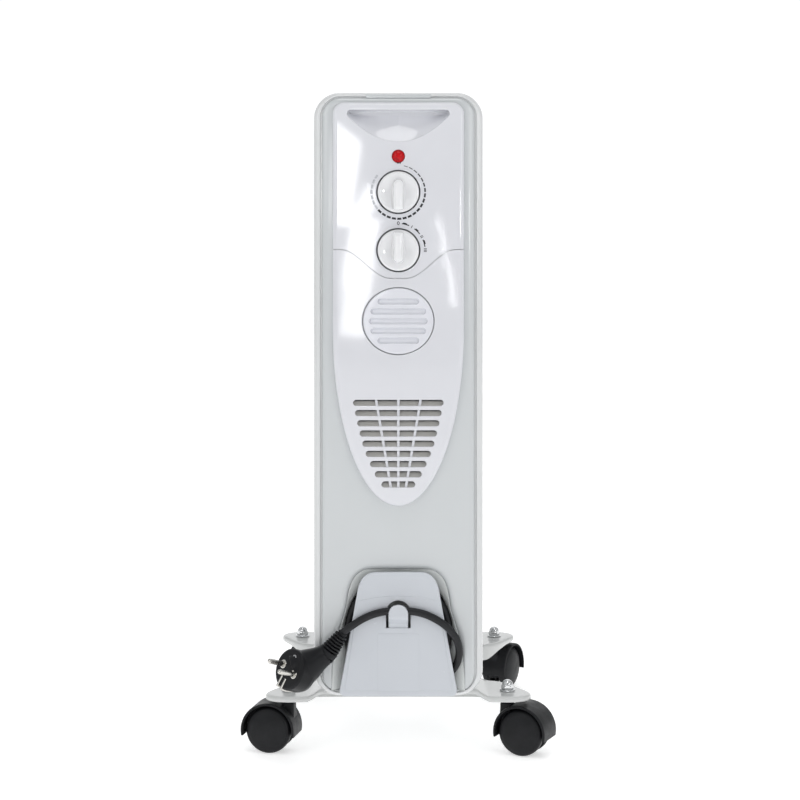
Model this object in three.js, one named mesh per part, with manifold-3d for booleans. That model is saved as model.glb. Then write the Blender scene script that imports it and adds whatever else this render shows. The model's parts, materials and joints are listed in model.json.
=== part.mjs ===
// Oil filled radiator heater on four twin-wheel casters, millimetres, +Z up, front facing -Y.
// Lengths along Y are measured back from the front plane of the control casing; the group that
// holds everything then moves the origin to the middle of the heater, on the floor.

import * as THREE from 'three';
import { mergeVertices } from 'three/addons/utils/BufferGeometryUtils.js';
import Module from 'manifold-3d';

const wasm = await Module();
wasm.setup();

// Driving dimensions
const ORIGIN_Y = 172.5;          // from the casing's front plane back to the heater's middle
const GAP = 0.3;                 // clearance left between touching pieces

const CASING = { halfWidth: 80, bottom: 69.7, top: 640.5, depth: 75, corner: 24.5, wall: 1.5, groove: 0.7 };
const COVER = { halfWidth: 72, bottom: 74.7, top: 635.5, corner: 18, front: -2, back: 0, rim: 10 };
const PANEL = { halfWidth: 62.2, top: 631, corner: 11, shoulder: 416, bottom: 250, front: -8, back: -2.3 };
const SEAM = { side: 492, dip: 27, inner: 8, outer: 54, gap: 0.5 };
const HANDLE = { top: 623.6, end: 618.3, bottom: 593.7, halfWidth: 48, floor: 16, wall: 2 };
const LAMP = { z: 579.7, radius: 6 };
const KNOB = { radius: 19.5, hole: 20.7, thermostatZ: 546.1, selectorZ: 491.4, grip: 8.6 };
const SHAFT = { radius: 3, length: 35, tip: -11.7 };
const GRILLE = { z: 424.7, radius: 33.3, slot: 5.7, pitch: 9.2, lengths: [39, 52, 55, 52, 39] };
const LOUVRE = { top: 347.8, pitch: 9.59, slot: 5.7 };
const LOUVRE_HALF_LENGTHS = [42.5, 40.6, 38.6, 36.3, 33.8, 30.6, 26.5, 22, 15.8];

const FIN = { count: 7, first: 84, pitch: 36, halfWidth: 75, bottom: 76, top: 632, corner: 30, sheet: 1.6 };
const CHAMBER = { halfWidth: 34, halfDepth: 8, bottom: 96, top: 612, wall: 1.2 };
const COLLAR = { radius: 22, bore: 15, lower: 128, upper: 580 };
const SHIELD = { front: 70, back: 71.2, halfWidth: 74, hole: 25 };

const COIL = { z: 131, inner: 37, outer: 51, front: 1.5, back: 22.5 };
const CORD = { radius: 3.5, gland: [-38.5, 19, 90.5] };
const POCKET = { back: 27, wall: 1.2, bottom: 74, flare: 76 };
const STORAGE_COVER = { front: -9, back: -6.5, bottom: 72, top: 188.7 };
const CLIP = { tongue: 9.2, slot: 2.3, foot: 136.2, top: 160, front: -18.9 };

const BRACKET = { sheet: 2, tip: 130, foot: 59.3, raised: 66.3, rim: 5 };
const STEM = { x: 107, front: 66, rear: 318, radius: 4 };
const U_BOLT = { front: 102, rear: 282, rod: 2.5, bottom: 46 };
const WHEEL = { radius: 22.5, trail: 18, inner: 6.5, outer: 17.5, bore: 3.1 };
const HOOD = { outer: 27, inner: 24.6, halfWidth: 17, top: 48.4 };
const CASTERS = [
  { name: 'front_left', side: -1, y: STEM.front, heading: 168 },
  { name: 'front_right', side: 1, y: STEM.front, heading: -25 },
  { name: 'rear_left', side: -1, y: STEM.rear, heading: 60 },
  { name: 'rear_right', side: 1, y: STEM.rear, heading: 61.6 },
];

// The cord's way from the coil, round the cover's edge, under the clip and into the plug's boot
const CORD_ROUTE = [
  [29.5, 5, 83.6], [38, 4.6, 85.2], [46, 3.2, 89.4], [52.2, 0.8, 95.8], [56, -2.2, 103.5],
  [57.4, -5.4, 112], [56.6, -8, 120], [53.4, -10.4, 128.2], [48.3, -12.2, 135.3], [41.5, -13.2, 141.3],
  [34, -13.3, 146], [25.5, -13.3, 149.8], [16, -13.3, 152.2], [6, -13.3, 153.2],
  [-4, -13.3, 153.3], [-14, -13.3, 152.3], [-24, -13.3, 149.7], [-33.5, -13.5, 145.6],
  [-42, -13.8, 140.4], [-51.6, -14.5, 133.4],
];
const PLUG = {
  centre: [-92.3, -9, 95.3],
  neck: [-66.2, -14, 113.9],
  pins: [-0.77, -0.6, 0.22],
  pinRow: [0.53, -0.7, -0.48],
  radius: 19.5,
  halfDepth: 12,
};

// Finishes
const paint = { color: 0xdde1e3, roughness: 0.25, metalness: 0 };
const whitePlastic = { color: 0xe9eaee, roughness: 0.2, metalness: 0 };
const bracketPaint = { color: 0xd2d1c6, roughness: 0.4, metalness: 0 };
const blackPlastic = { color: 0x26272a, roughness: 0.45, metalness: 0 };
const chrome = { color: 0xd8dadb, roughness: 0.12, metalness: 1 };
const steel = { color: 0x9a9da0, roughness: 0.4, metalness: 1 };
const brass = { color: 0xc9a45c, roughness: 0.3, metalness: 1 };
const redLens = { color: 0xd3151c, roughness: 0.15, metalness: 0 };
const clearGlass = { color: 0xe8c7a8, roughness: 0.1, metalness: 0 };

const heater = new THREE.Group();
heater.position.y = -ORIGIN_Y;

function add(name, geometry, finish, parent = heater) {
  const mesh = new THREE.Mesh(geometry, new THREE.MeshStandardMaterial(finish));
  mesh.name = name;
  parent.add(mesh);
  return mesh;
}

// Solid geometry tools: a closed three.js geometry becomes a manifold solid and back

function toSolid(geometry) {
  const bare = geometry.clone();
  bare.deleteAttribute('normal');
  bare.deleteAttribute('uv');
  const merged = mergeVertices(bare, 1e-4);
  return new wasm.Manifold(new wasm.Mesh({
    numProp: 3,
    vertProperties: new Float32Array(merged.attributes.position.array),
    triVerts: new Uint32Array(merged.index.array),
  }));
}

function toGeometry(solid) {
  const mesh = solid.getMesh();
  const geometry = new THREE.BufferGeometry();
  geometry.setAttribute('position', new THREE.BufferAttribute(mesh.vertProperties, 3));
  geometry.setIndex(new THREE.BufferAttribute(mesh.triVerts, 1));
  geometry.computeVertexNormals();
  return geometry;
}

function join(...geometries) {
  return toGeometry(geometries.map(toSolid).reduce((whole, next) => whole.add(next)));
}

function cut(geometry, ...tools) {
  return toGeometry(tools.map(toSolid).reduce((whole, tool) => whole.subtract(tool), toSolid(geometry)));
}

function common(a, b) {
  return toGeometry(toSolid(a).intersect(toSolid(b)));
}

function box(x0, x1, y0, y1, z0, z1) {
  const geometry = new THREE.BoxGeometry(x1 - x0, y1 - y0, z1 - z0);
  return geometry.translate((x0 + x1) / 2, (y0 + y1) / 2, (z0 + z1) / 2);
}

// A round bar or cone between two points
function rod(from, to, radius, segments = 16, endRadius = radius) {
  const start = new THREE.Vector3(...from);
  const way = new THREE.Vector3(...to).sub(start);
  const middle = start.clone().addScaledVector(way, 0.5);
  const geometry = new THREE.CylinderGeometry(endRadius, radius, way.length(), segments);
  const turn = new THREE.Quaternion().setFromUnitVectors(new THREE.Vector3(0, 1, 0), way.normalize());
  return geometry.applyQuaternion(turn).translate(...middle.toArray());
}

// An outline drawn in X and Z, thick from y0 back to y1, its front edge rounded by bevel
function slab(shape, y0, y1, bevel = 0, curveSegments = 5) {
  const geometry = new THREE.ExtrudeGeometry(shape, {
    depth: y1 - y0 - 2 * bevel,
    bevelEnabled: bevel > 0,
    bevelThickness: bevel,
    bevelSize: bevel,
    bevelOffset: -bevel,
    bevelSegments: 1,
    curveSegments,
  });
  return geometry.translate(0, 0, bevel).rotateX(Math.PI / 2).translate(0, y1, 0);
}

// An outline drawn in X and Y, standing from z0 up to z1
function prism(shape, z0, z1, curveSegments = 10) {
  const geometry = new THREE.ExtrudeGeometry(shape, { depth: z1 - z0, bevelEnabled: false, curveSegments });
  return geometry.translate(0, 0, z0);
}

// A turned piece about +Z: pairs of radius and height, from the axis at its top round to the axis again
function turned(profile, segments = 20) {
  const points = profile.map(([radius, height]) => new THREE.Vector2(radius, height)).reverse();
  return new THREE.LatheGeometry(points, segments).rotateX(Math.PI / 2);
}

function roundedRect(x0, x1, z0, z1, radius) {
  const shape = new THREE.Shape();
  shape.moveTo(x0 + radius, z0);
  shape.lineTo(x1 - radius, z0);
  shape.absarc(x1 - radius, z0 + radius, radius, -Math.PI / 2, 0);
  shape.lineTo(x1, z1 - radius);
  shape.absarc(x1 - radius, z1 - radius, radius, 0, Math.PI / 2);
  shape.lineTo(x0 + radius, z1);
  shape.absarc(x0 + radius, z1 - radius, radius, Math.PI / 2, Math.PI);
  shape.lineTo(x0, z0 + radius);
  shape.absarc(x0 + radius, z0 + radius, radius, Math.PI, 1.5 * Math.PI);
  return shape;
}

function casingOutline(inset) {
  const { halfWidth, bottom, top, corner } = CASING;
  const side = halfWidth - inset;
  return roundedRect(-side, side, bottom + inset, top - inset, corner - inset);
}

function coverOutline(inset) {
  const side = COVER.halfWidth - inset;
  return roundedRect(-side, side, COVER.bottom + inset, COVER.top - inset, COVER.corner - inset);
}

// Half moon of the carrying grip: straight above, a parabola below
function handleOutline(offset) {
  const { top, end, bottom, halfWidth } = HANDLE;
  const side = halfWidth + offset;
  const shape = new THREE.Shape();
  shape.moveTo(-side, end);
  shape.quadraticCurveTo(0, 2 * (bottom - offset) - end, side, end);
  shape.quadraticCurveTo(side, top + offset, side - 5, top + offset);
  shape.lineTo(5 - side, top + offset);
  shape.quadraticCurveTo(-side, top + offset, -side, end);
  return shape;
}

// Height of the seam between the upper and lower panel
function seamZ(x) {
  const share = THREE.MathUtils.smoothstep(Math.abs(x), SEAM.inner, SEAM.outer);
  return SEAM.side - SEAM.dip * (1 - share);
}

function seamPoints(offset) {
  const steps = 16;
  const points = [];
  for (let i = 0; i <= steps; i++) {
    const x = PANEL.halfWidth * (1 - 2 * i / steps);
    points.push([x, seamZ(x) + offset]);
  }
  return points;
}

function upperPanelOutline() {
  const { halfWidth, top, corner } = PANEL;
  const shape = new THREE.Shape();
  shape.moveTo(-halfWidth, SEAM.side + SEAM.gap);
  for (const [x, z] of seamPoints(SEAM.gap).reverse().slice(1)) shape.lineTo(x, z);
  shape.lineTo(halfWidth, top - corner);
  shape.absarc(halfWidth - corner, top - corner, corner, 0, Math.PI / 2);
  shape.lineTo(corner - halfWidth, top);
  shape.absarc(corner - halfWidth, top - corner, corner, Math.PI / 2, Math.PI);
  return shape;
}

function lowerPanelOutline() {
  const { halfWidth, shoulder, bottom } = PANEL;
  const shape = new THREE.Shape();
  shape.moveTo(halfWidth, SEAM.side - SEAM.gap);
  for (const [x, z] of seamPoints(-SEAM.gap).slice(1)) shape.lineTo(x, z);
  shape.lineTo(-halfWidth, shoulder);
  shape.absellipse(0, shoulder, halfWidth, shoulder - bottom, Math.PI, 2 * Math.PI);
  return shape;
}

function slotOutline(halfLength, height, z) {
  return roundedRect(-halfLength, halfLength, z - height / 2, z + height / 2, height / 2);
}

// Arch of the cord pocket, open to the bottom
function pocketOutline(inset, bottom) {
  const top = 189.8 - inset;
  const shape = new THREE.Shape();
  shape.moveTo(inset - 63, bottom);
  shape.lineTo(63 - inset, bottom);
  shape.lineTo(63 - inset, POCKET.flare);
  shape.bezierCurveTo(63.5 - inset, 126, 51 - inset, 140, 48.5 - inset, 160);
  shape.quadraticCurveTo(45 - inset, top, 26 - inset, top);
  shape.lineTo(inset - 26, top);
  shape.quadraticCurveTo(inset - 45, top, inset - 48.5, 160);
  shape.bezierCurveTo(inset - 51, 140, inset - 63.5, 126, inset - 63, POCKET.flare);
  return shape;
}

// Control box

function casing() {
  const { depth, wall, groove } = CASING;
  const outer = slab(casingOutline(0), 0, depth, 0, 4);
  const inside = slab(casingOutline(wall), wall, depth + 1, 0, 4);
  const mouth = slab(coverOutline(-groove), -1, wall + 1, 0, 3);
  return cut(outer, inside, mouth);
}

function louvreWindow() {
  const shape = new THREE.Shape();
  shape.moveTo(-47, 353);
  shape.lineTo(-44, 320);
  shape.lineTo(-20, 266);
  shape.lineTo(20, 266);
  shape.lineTo(44, 320);
  shape.lineTo(47, 353);
  return shape;
}

function frontCover() {
  const { front, back, rim } = COVER;
  const face = slab(coverOutline(0), front, back + 0.5, 1, 3);
  const skirt = cut(
    slab(coverOutline(0.6), front + 1, rim, 0, 3),
    slab(coverOutline(2), front, rim + 1, 0, 3),
  );
  const knobHoles = [KNOB.thermostatZ, KNOB.selectorZ].map((z) => rod([0, -5, z], [0, 5, z], 5.5));
  return cut(
    join(face, skirt),
    slab(handleOutline(HANDLE.wall + 0.6), -5, 5),
    slab(louvreWindow(), -5, 5),
    slab(pocketOutline(-GAP, COVER.bottom - 5), -5, rim + 5),
    rod([0, -5, LAMP.z], [0, 5, LAMP.z], 7),
    ...knobHoles,
  );
}

function upperPanel() {
  const { front, back } = PANEL;
  const { floor, wall } = HANDLE;
  const plate = slab(upperPanelOutline(), front, back, 2);
  const scoop = slab(handleOutline(wall), back - 1, floor + wall);
  const dials = [KNOB.thermostatZ, KNOB.selectorZ];
  const knobHoles = dials.map((z) => rod([0, -12, z], [0, 0, z], KNOB.hole, 24));
  return cut(
    join(plate, scoop),
    slab(handleOutline(0), front - 1, floor),
    rod([0, -12, LAMP.z], [0, 0, LAMP.z], LAMP.radius + GAP, 20),
    ...knobHoles,
  );
}

function lowerPanel() {
  const { front, back } = PANEL;
  const plate = slab(lowerPanelOutline(), front, back, 2, 12);
  const slots = LOUVRE_HALF_LENGTHS.map((halfLength, row) => {
    const z = LOUVRE.top - row * LOUVRE.pitch;
    return slab(slotOutline(halfLength, LOUVRE.slot, z), front - 1, back + 1, 0, 1);
  });
  const grilleHole = rod([0, -12, GRILLE.z], [0, 0, GRILLE.z], GRILLE.radius + 0.8, 28);
  const ribs = [-1, 0, 1].map((side) => {
    const shape = new THREE.Shape();
    shape.moveTo(side * 21.2 - 1.3, 352);
    shape.lineTo(side * 6.8 - 1.3, 267);
    shape.lineTo(side * 6.8 + 1.3, 267);
    shape.lineTo(side * 21.2 + 1.3, 352);
    return slab(shape, back - 2, back);
  });
  return join(cut(plate, ...slots, grilleHole), ...ribs);
}

function roundGrille() {
  const { z, radius, slot, pitch, lengths } = GRILLE;
  const disc = rod([0, PANEL.front - 0.4, z], [0, PANEL.back - GAP, z], radius, 28);
  const grooves = lengths.map((length, i) => {
    const grooveZ = z + (2 - i) * pitch;
    return slab(slotOutline(length / 2, slot, grooveZ), PANEL.front - 1, PANEL.front + 1.6, 0, 1);
  });
  return cut(disc, ...grooves);
}

function lampLens() {
  const profile = [[0, 11], [3, 10.4], [5.2, 8.6], [6, 6.4], [6, 0], [3.8, 0], [3.8, 7.5], [0, 7.5]];
  return turned(profile, 20).rotateX(Math.PI / 2).translate(0, 0, LAMP.z);
}

function neonLamp() {
  const profile = [[0, 6.5], [2.2, 5.8], [3.2, 4], [3.2, -12], [0, -12]];
  return turned(profile, 12).rotateX(Math.PI / 2).translate(0, 0, LAMP.z);
}

// A round knob with a raised bar across it to hold, hollow for its shaft
function knob(z) {
  const { radius, grip } = KNOB;
  const disc = rod([0, -2.7, z], [0, -12, z], radius, 24, radius - 0.8);
  const bar = common(
    rod([0, -21, z], [0, -10, z], radius - 0.8, 24),
    slab(roundedRect(-grip / 2, grip / 2, z - radius, z + radius, 3), -21, -10, 1.5, 2),
  );
  return cut(join(disc, bar), rod([0, -12, z], [0, 0, z], SHAFT.radius + GAP, 12));
}

function shaft(z) {
  return rod([0, SHAFT.tip, z], [0, SHAFT.tip + SHAFT.length, z], SHAFT.radius, 12);
}

// A switch body behind the front cover, with a neck and a bore for its shaft
function switchBody(z, halfWidth, halfHeight) {
  return cut(
    join(box(-halfWidth, halfWidth, 6, 29, z - halfHeight, z + halfHeight), rod([0, 1, z], [0, 7, z], 4.8)),
    rod([0, 0, z], [0, SHAFT.tip + SHAFT.length + GAP, z], SHAFT.radius + GAP, 12),
  );
}

function terminalBlock() {
  const holes = [-14, 0, 14].map((x) => rod([x, 50, 302], [x, 72, 302], 2, 10));
  return cut(box(-22, 22, 56, 69.6, 294, 310), ...holes);
}

// Cord storage

function cordPocket() {
  const { back, wall, bottom } = POCKET;
  const shell = cut(
    slab(pocketOutline(0, bottom), CASING.wall + GAP, back),
    slab(pocketOutline(wall, bottom + wall), -1, back - 2),
  );
  const core = rod([0, -5.5, COIL.z], [0, back - 1, COIL.z], COIL.inner - 0.6, 40);
  const hollow = rod([0, -6, COIL.z], [0, back - 3, COIL.z], COIL.inner - 3, 40);
  return cut(join(shell, core), hollow);
}

function storageCoverOutline() {
  const { bottom, top } = STORAGE_COVER;
  const shape = new THREE.Shape();
  shape.moveTo(-50, bottom);
  shape.lineTo(50, bottom);
  shape.quadraticCurveTo(55.6, bottom, 55, 78);
  shape.lineTo(38.9, 168);
  shape.quadraticCurveTo(36, top, 21, top);
  shape.lineTo(-21, top);
  shape.quadraticCurveTo(-36, top, -38.9, 168);
  shape.lineTo(-55, 78);
  shape.quadraticCurveTo(-55.6, bottom, -50, bottom);
  return shape;
}

// Arch around the clip's tongue: straight legs and a round top
function archOutline(halfWidth, bottom, top) {
  const shape = new THREE.Shape();
  shape.moveTo(-halfWidth, bottom);
  shape.lineTo(halfWidth, bottom);
  shape.lineTo(halfWidth, top - halfWidth);
  shape.absellipse(0, top - halfWidth, halfWidth, halfWidth, 0, Math.PI);
  return shape;
}

function storageCover() {
  const { front, back } = STORAGE_COVER;
  const { tongue, slot, foot, top } = CLIP;
  const plate = slab(storageCoverOutline(), front, back, 1);
  const boss = rod([0, back - 1, COIL.z], [0, 12, COIL.z], 8, 20);
  const opening = slab(archOutline(tongue + slot, foot, top + slot), front - 1, back + 1);
  const side = new THREE.Shape();
  side.moveTo(front, foot - 1);
  side.lineTo(front, foot + 4);
  side.lineTo(CLIP.front, foot + 10.5);
  side.lineTo(CLIP.front, top + 1);
  side.lineTo(CLIP.front + 1.8, top + 1);
  side.lineTo(CLIP.front + 1.8, foot + 11.5);
  side.lineTo(front + 2, foot + 5);
  side.lineTo(front + 2, foot - 1);
  const bent = new THREE.ExtrudeGeometry(side, { depth: 2 * tongue, bevelEnabled: false });
  const band = bent.applyMatrix4(new THREE.Matrix4().makeBasis(
    new THREE.Vector3(0, 1, 0), new THREE.Vector3(0, 0, 1), new THREE.Vector3(1, 0, 0),
  )).translate(-tongue, 0, 0);
  const arch = slab(archOutline(tongue, foot - 2, top), CLIP.front - 1, back + 1);
  return join(cut(plate, opening), boss, common(band, arch));
}

// Tapered strain relief through the pocket's side wall
function cordGland() {
  const [tip, y, z] = CORD.gland;
  return join(
    rod([-60.2, y, z], [tip - 6, y, z], 5.6, 16, 4.6),
    rod([tip - 7, y, z], [tip - GAP, y, z], 4.6, 16, 4.1),
  );
}

// Radiator

function finOutline(halfWidth, bottom, top, radius) {
  return roundedRect(-halfWidth, halfWidth, bottom, top, radius);
}

// One fin: a sheet with an oil chamber pressed into it and a collar above and below
function fin(index) {
  const y = FIN.first + index * FIN.pitch;
  const half = FIN.pitch / 2 - GAP / 2;
  const last = index === FIN.count - 1;
  const reach = last ? 11 : half;
  const { halfWidth, halfDepth, bottom, top, wall } = CHAMBER;
  const outline = finOutline(FIN.halfWidth, FIN.bottom, FIN.top, FIN.corner);
  const sheet = slab(outline, y - FIN.sheet / 2, y + FIN.sheet / 2, 0, 2);
  const channel = finOutline(halfWidth, bottom, top, halfWidth - 1);
  const bulge = slab(channel, y - halfDepth, y + halfDepth, 2.5, 2);
  const side = halfWidth - 2 * wall;
  const inside = finOutline(side, bottom + 2 * wall, top - 2 * wall, side - 1);
  const hollow = slab(inside, y - halfDepth + wall, y + halfDepth - wall, 0, 2);
  const heights = [COLLAR.lower, COLLAR.upper];
  const collars = heights.map((z) => rod([0, y - half, z], [0, y + reach, z], COLLAR.radius, 12));
  const bores = heights.map((z) => {
    const upper = z === COLLAR.upper;
    const front = index === 0 && upper ? y - 5 : y - half - 1;
    const back = last && !upper ? y + 5 : y + reach + 1;
    return rod([0, front, z], [0, back, z], COLLAR.bore, 10);
  });
  return cut(join(sheet, bulge, ...collars), hollow, ...bores);
}

// U-shaped element in the lower collars, on a flange that closes the first fin
function heatingElement() {
  const z = COLLAR.lower;
  const far = 285;
  class Bend extends THREE.Curve {
    getPoint(t) {
      const angle = Math.PI * t;
      return new THREE.Vector3(8 * Math.cos(angle), far + 8 * Math.sin(angle), z);
    }
  }
  const circle = new THREE.Shape();
  circle.absarc(0, 0, 4, 0, 2 * Math.PI);
  const bend = new THREE.ExtrudeGeometry(circle, { extrudePath: new Bend(), steps: 8, curveSegments: 5 });
  const legs = [-8, 8].map((x) => rod([x, 60, z], [x, far + 0.5, z], 4, 10));
  const pins = [-8, 8].map((x) => rod([x, 48, z], [x, 62, z], 2, 8));
  const flangeBack = FIN.first - FIN.pitch / 2 - GAP;
  return join(bend, ...legs, ...pins, rod([0, 60, z], [0, flangeBack, z], 20, 6));
}

function fillerPlug() {
  const back = FIN.first + (FIN.count - 1) * FIN.pitch + 11 + GAP;
  const z = COLLAR.upper;
  const thread = rod([0, back - 9, z], [0, back + 1, z], COLLAR.bore - 1.2, 10);
  const hexagon = rod([0, back, z], [0, back + 7, z], 18, 6);
  return join(thread, hexagon);
}

function heatShield() {
  const { front, back, halfWidth, hole } = SHIELD;
  const sheet = slab(finOutline(halfWidth, FIN.bottom, FIN.top, 20), front, back, 0, 2);
  const heights = [COLLAR.lower, COLLAR.upper];
  const holes = heights.map((z) => rod([0, front - 1, z], [0, back + 1, z], hole, 24));
  return cut(sheet, ...holes);
}

// U-bolt over the collars between two fins
function uBolt(y) {
  const reach = COLLAR.radius + 0.4 + U_BOLT.rod;
  class Arch extends THREE.Curve {
    getPoint(t) {
      const angle = Math.PI * t;
      return new THREE.Vector3(reach * Math.cos(angle), y, COLLAR.lower + reach * Math.sin(angle));
    }
  }
  const circle = new THREE.Shape();
  circle.absarc(0, 0, U_BOLT.rod, 0, 2 * Math.PI);
  const arch = new THREE.ExtrudeGeometry(circle, { extrudePath: new Arch(), steps: 14, curveSegments: 4 });
  const { bottom, rod: radius } = U_BOLT;
  const legs = [-reach, reach].map((x) => rod([x, y, bottom], [x, y, COLLAR.lower + 0.5], radius, 8));
  return join(arch, ...legs);
}

function wingNut(x, y) {
  const top = BRACKET.raised - BRACKET.sheet - GAP;
  const hub = rod([x, y, top - 8], [x, y, top], 5.5, 12, 6.5);
  const wings = box(x - 14, x + 14, y - 1.2, y + 1.2, top - 13, top - 3);
  return cut(join(hub, wings), rod([x, y, top - 20], [x, y, top + 1], U_BOLT.rod + GAP, 10));
}

// Foot bracket

// Right half of a bracket's plan: a web under the fins and a wing whose tip leans away from them.
// The second number runs from the stems towards the U-bolt.
const WING = [
  [0, -22], [66, -22], [80, -24], [100, -27], [116, -26], [126, -20], [130, -10],
  [128, 0], [121, 12], [114, 26], [104, 40], [92, 46], [46, 47], [0, 47],
];

// A closed outline moved inwards by a distance, each corner along the middle of its two sides
function shrink(points, distance) {
  return points.map((point, i) => {
    const before = points[(i + points.length - 1) % points.length];
    const after = points[(i + 1) % points.length];
    const sides = [[before, point], [point, after]].map(([a, b]) => {
      const length = Math.hypot(b[0] - a[0], b[1] - a[1]);
      return [(a[1] - b[1]) / length, (b[0] - a[0]) / length];
    });
    const bend = 1 + sides[0][0] * sides[1][0] + sides[0][1] * sides[1][1];
    return [0, 1].map((axis) => point[axis] + distance * (sides[0][axis] + sides[1][axis]) / bend);
  });
}

function bracketPlan(stemY, toBolt, inset) {
  const left = WING.slice(1, -1).reverse().map(([x, v]) => [-x, v]);
  const outline = shrink([...WING, ...left], inset);
  const shape = new THREE.Shape();
  shape.setFromPoints(outline.map(([x, v]) => new THREE.Vector2(x, stemY + toBolt * v)));
  return shape;
}

// The pressed sheet's top, from the wing's tip inwards
const SHEET_TOP = [[BRACKET.tip + 1, BRACKET.foot], [88, BRACKET.foot], [74, BRACKET.raised]];
// Lower edge of the deep rim on a bracket's inner side, high enough at the wings to clear the turning wheels
const APRON = [[74, 42.3], [92, 42.3], [98, 43.2], [104, 46.8], [110, 50.4], [118, 53], [131, 54.3]];

// The sheet's top moved down, from the middle outwards
function levelEdge(down) {
  return SHEET_TOP.map(([x, z]) => [x, z - down]).reverse();
}

// Cross section from wing tip to wing tip, between the sheet's top and a lower edge
function bracketSection(lowerEdge) {
  const right = [...lowerEdge, ...SHEET_TOP];
  const left = right.map(([x, z]) => [-x, z]).reverse();
  const shape = new THREE.Shape();
  shape.setFromPoints([...right, ...left].map(([x, z]) => new THREE.Vector2(x, z)));
  return shape;
}

function bracket(stemY, boltY) {
  const { sheet, rim, raised, foot } = BRACKET;
  const toBolt = Math.sign(boltY - stemY);
  const boltX = COLLAR.radius + 0.4 + U_BOLT.rod;
  const whole = prism(bracketPlan(stemY, toBolt, 0), 20, 80);
  const inner = prism(bracketPlan(stemY, toBolt, sheet), 10, 90);
  const edge = cut(whole, inner);
  const plate = common(whole, slab(bracketSection(levelEdge(sheet)), stemY - 60, stemY + 60));
  const skirt = common(edge, slab(bracketSection(levelEdge(rim)), stemY - 60, stemY + 60));
  const start = stemY + toBolt * 4;
  const end = stemY + toBolt * 60;
  const apron = common(edge, slab(bracketSection(APRON), Math.min(start, end), Math.max(start, end)));
  const saddles = [boltY - 18, boltY + 18].map((y) => {
    const strip = box(-60, 60, y - 1, y + 1, raised - 1, FIN.bottom - GAP);
    return common(strip, inner);
  });
  const stemHoles = [-STEM.x, STEM.x].map((x) => {
    return rod([x, stemY, 30], [x, stemY, foot + 5], STEM.radius + GAP, 16);
  });
  const boltHoles = [-boltX, boltX].map((x) => rod([x, boltY, 30], [x, boltY, 90], U_BOLT.rod + 0.4, 10));
  return cut(join(plate, skirt, apron, ...saddles), ...stemHoles, ...boltHoles);
}

function domeNut(x, y) {
  const base = BRACKET.foot + GAP;
  const profile = [[0, 11], [4, 9.8], [5.8, 6], [6, 1.8], [9, 1.4], [9, 0], [4.3, 0], [4.3, 7.6], [0, 7.6]];
  return turned(profile, 14).translate(x, y, base);
}

// Caster

function casterStem(x, y) {
  const collarTop = BRACKET.foot - BRACKET.sheet - GAP;
  return join(
    rod([x, y, 15], [x, y, BRACKET.foot + GAP + 7.3], STEM.radius, 12),
    rod([x, y, HOOD.top + GAP], [x, y, collarTop], 6.2, 12),
  );
}

// Cover of the two wheels with the socket of the stem; the stem is at the local origin
function casterHood() {
  const { outer, inner, halfWidth, top } = HOOD;
  const sweep = (shape, radius, start, end) => shape.absarc(WHEEL.trail, WHEEL.radius, radius, start, end);
  const from = -0.21;
  const to = Math.PI + 0.21;
  const arc = new THREE.Shape();
  sweep(arc, outer, from, to);
  arc.absarc(WHEEL.trail, WHEEL.radius, inner, to, from, true);
  const web = new THREE.Shape();
  web.moveTo(WHEEL.trail, WHEEL.radius);
  sweep(web, outer - 1, from, to);
  const shell = slab(arc, -halfWidth, halfWidth, 0, 6);
  const middle = slab(web, -2.5, 2.5, 0, 6);
  const socket = rod([0, 0, 12], [0, 0, top], 5.9, 12);
  const axle = rod([WHEEL.trail, -15, WHEEL.radius], [WHEEL.trail, 15, WHEEL.radius], WHEEL.bore - GAP, 12);
  const boss = rod([WHEEL.trail, -2.7, WHEEL.radius], [WHEEL.trail, 2.7, WHEEL.radius], 6, 12);
  const stemBore = rod([0, 0, 14.5], [0, 0, top + 1], STEM.radius + GAP, 12);
  return cut(join(shell, middle, socket, axle, boss), stemBore);
}

// One wheel: a domed disc, a rolling rim and a hub, its axis along local Y; side is 1 or -1
function casterWheel(side) {
  const { radius, inner, outer, bore } = WHEEL;
  const profile = [
    [0, outer], [12, outer - 1.2], [20, outer - 4], [radius, outer - 6.4],
    [radius, inner], [radius - 2.2, inner], [radius - 2.2, outer - 7],
    [5.6, outer - 3.6], [5.6, 3], [bore, 3], [bore, outer - 1.9], [0, outer - 1.9],
  ];
  const turn = side > 0 ? -Math.PI / 2 : Math.PI / 2;
  return turned(profile, 16).rotateX(turn);
}

function caster({ name, side, y, heading }) {
  const group = new THREE.Group();
  group.position.set(side * STEM.x, y, 0);
  group.rotation.z = THREE.MathUtils.degToRad(heading);
  heater.add(group);
  add(`caster_hood_${name}`, casterHood(), blackPlastic, group);
  for (const [label, wheelSide] of [['a', 1], ['b', -1]]) {
    const wheel = add(`caster_wheel_${name}_${label}`, casterWheel(wheelSide), blackPlastic, group);
    wheel.position.set(WHEEL.trail, 0, WHEEL.radius);
  }
  add(`caster_stem_${name}`, casterStem(side * STEM.x, y), steel);
  add(`dome_nut_${name}`, domeNut(side * STEM.x, y), chrome);
}

// Cord and plug

function cordCoil() {
  const { inner, outer, front, back, z } = COIL;
  const profile = [[inner, front], [outer, front], [outer, back], [inner, back], [inner, front]];
  const points = profile.map(([radius, height]) => new THREE.Vector2(radius, height));
  return new THREE.LatheGeometry(points, 40).translate(0, 0, z);
}

function cordLead() {
  const curve = new THREE.CatmullRomCurve3(CORD_ROUTE.map((point) => new THREE.Vector3(...point)));
  const section = new THREE.Shape();
  section.absarc(0, 0, CORD.radius, 0, 2 * Math.PI);
  return new THREE.ExtrudeGeometry(section, { extrudePath: curve, steps: 26, curveSegments: 4 });
}

function lerpPoint(from, to, share) {
  return from.map((value, i) => value + (to[i] - value) * share);
}

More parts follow.
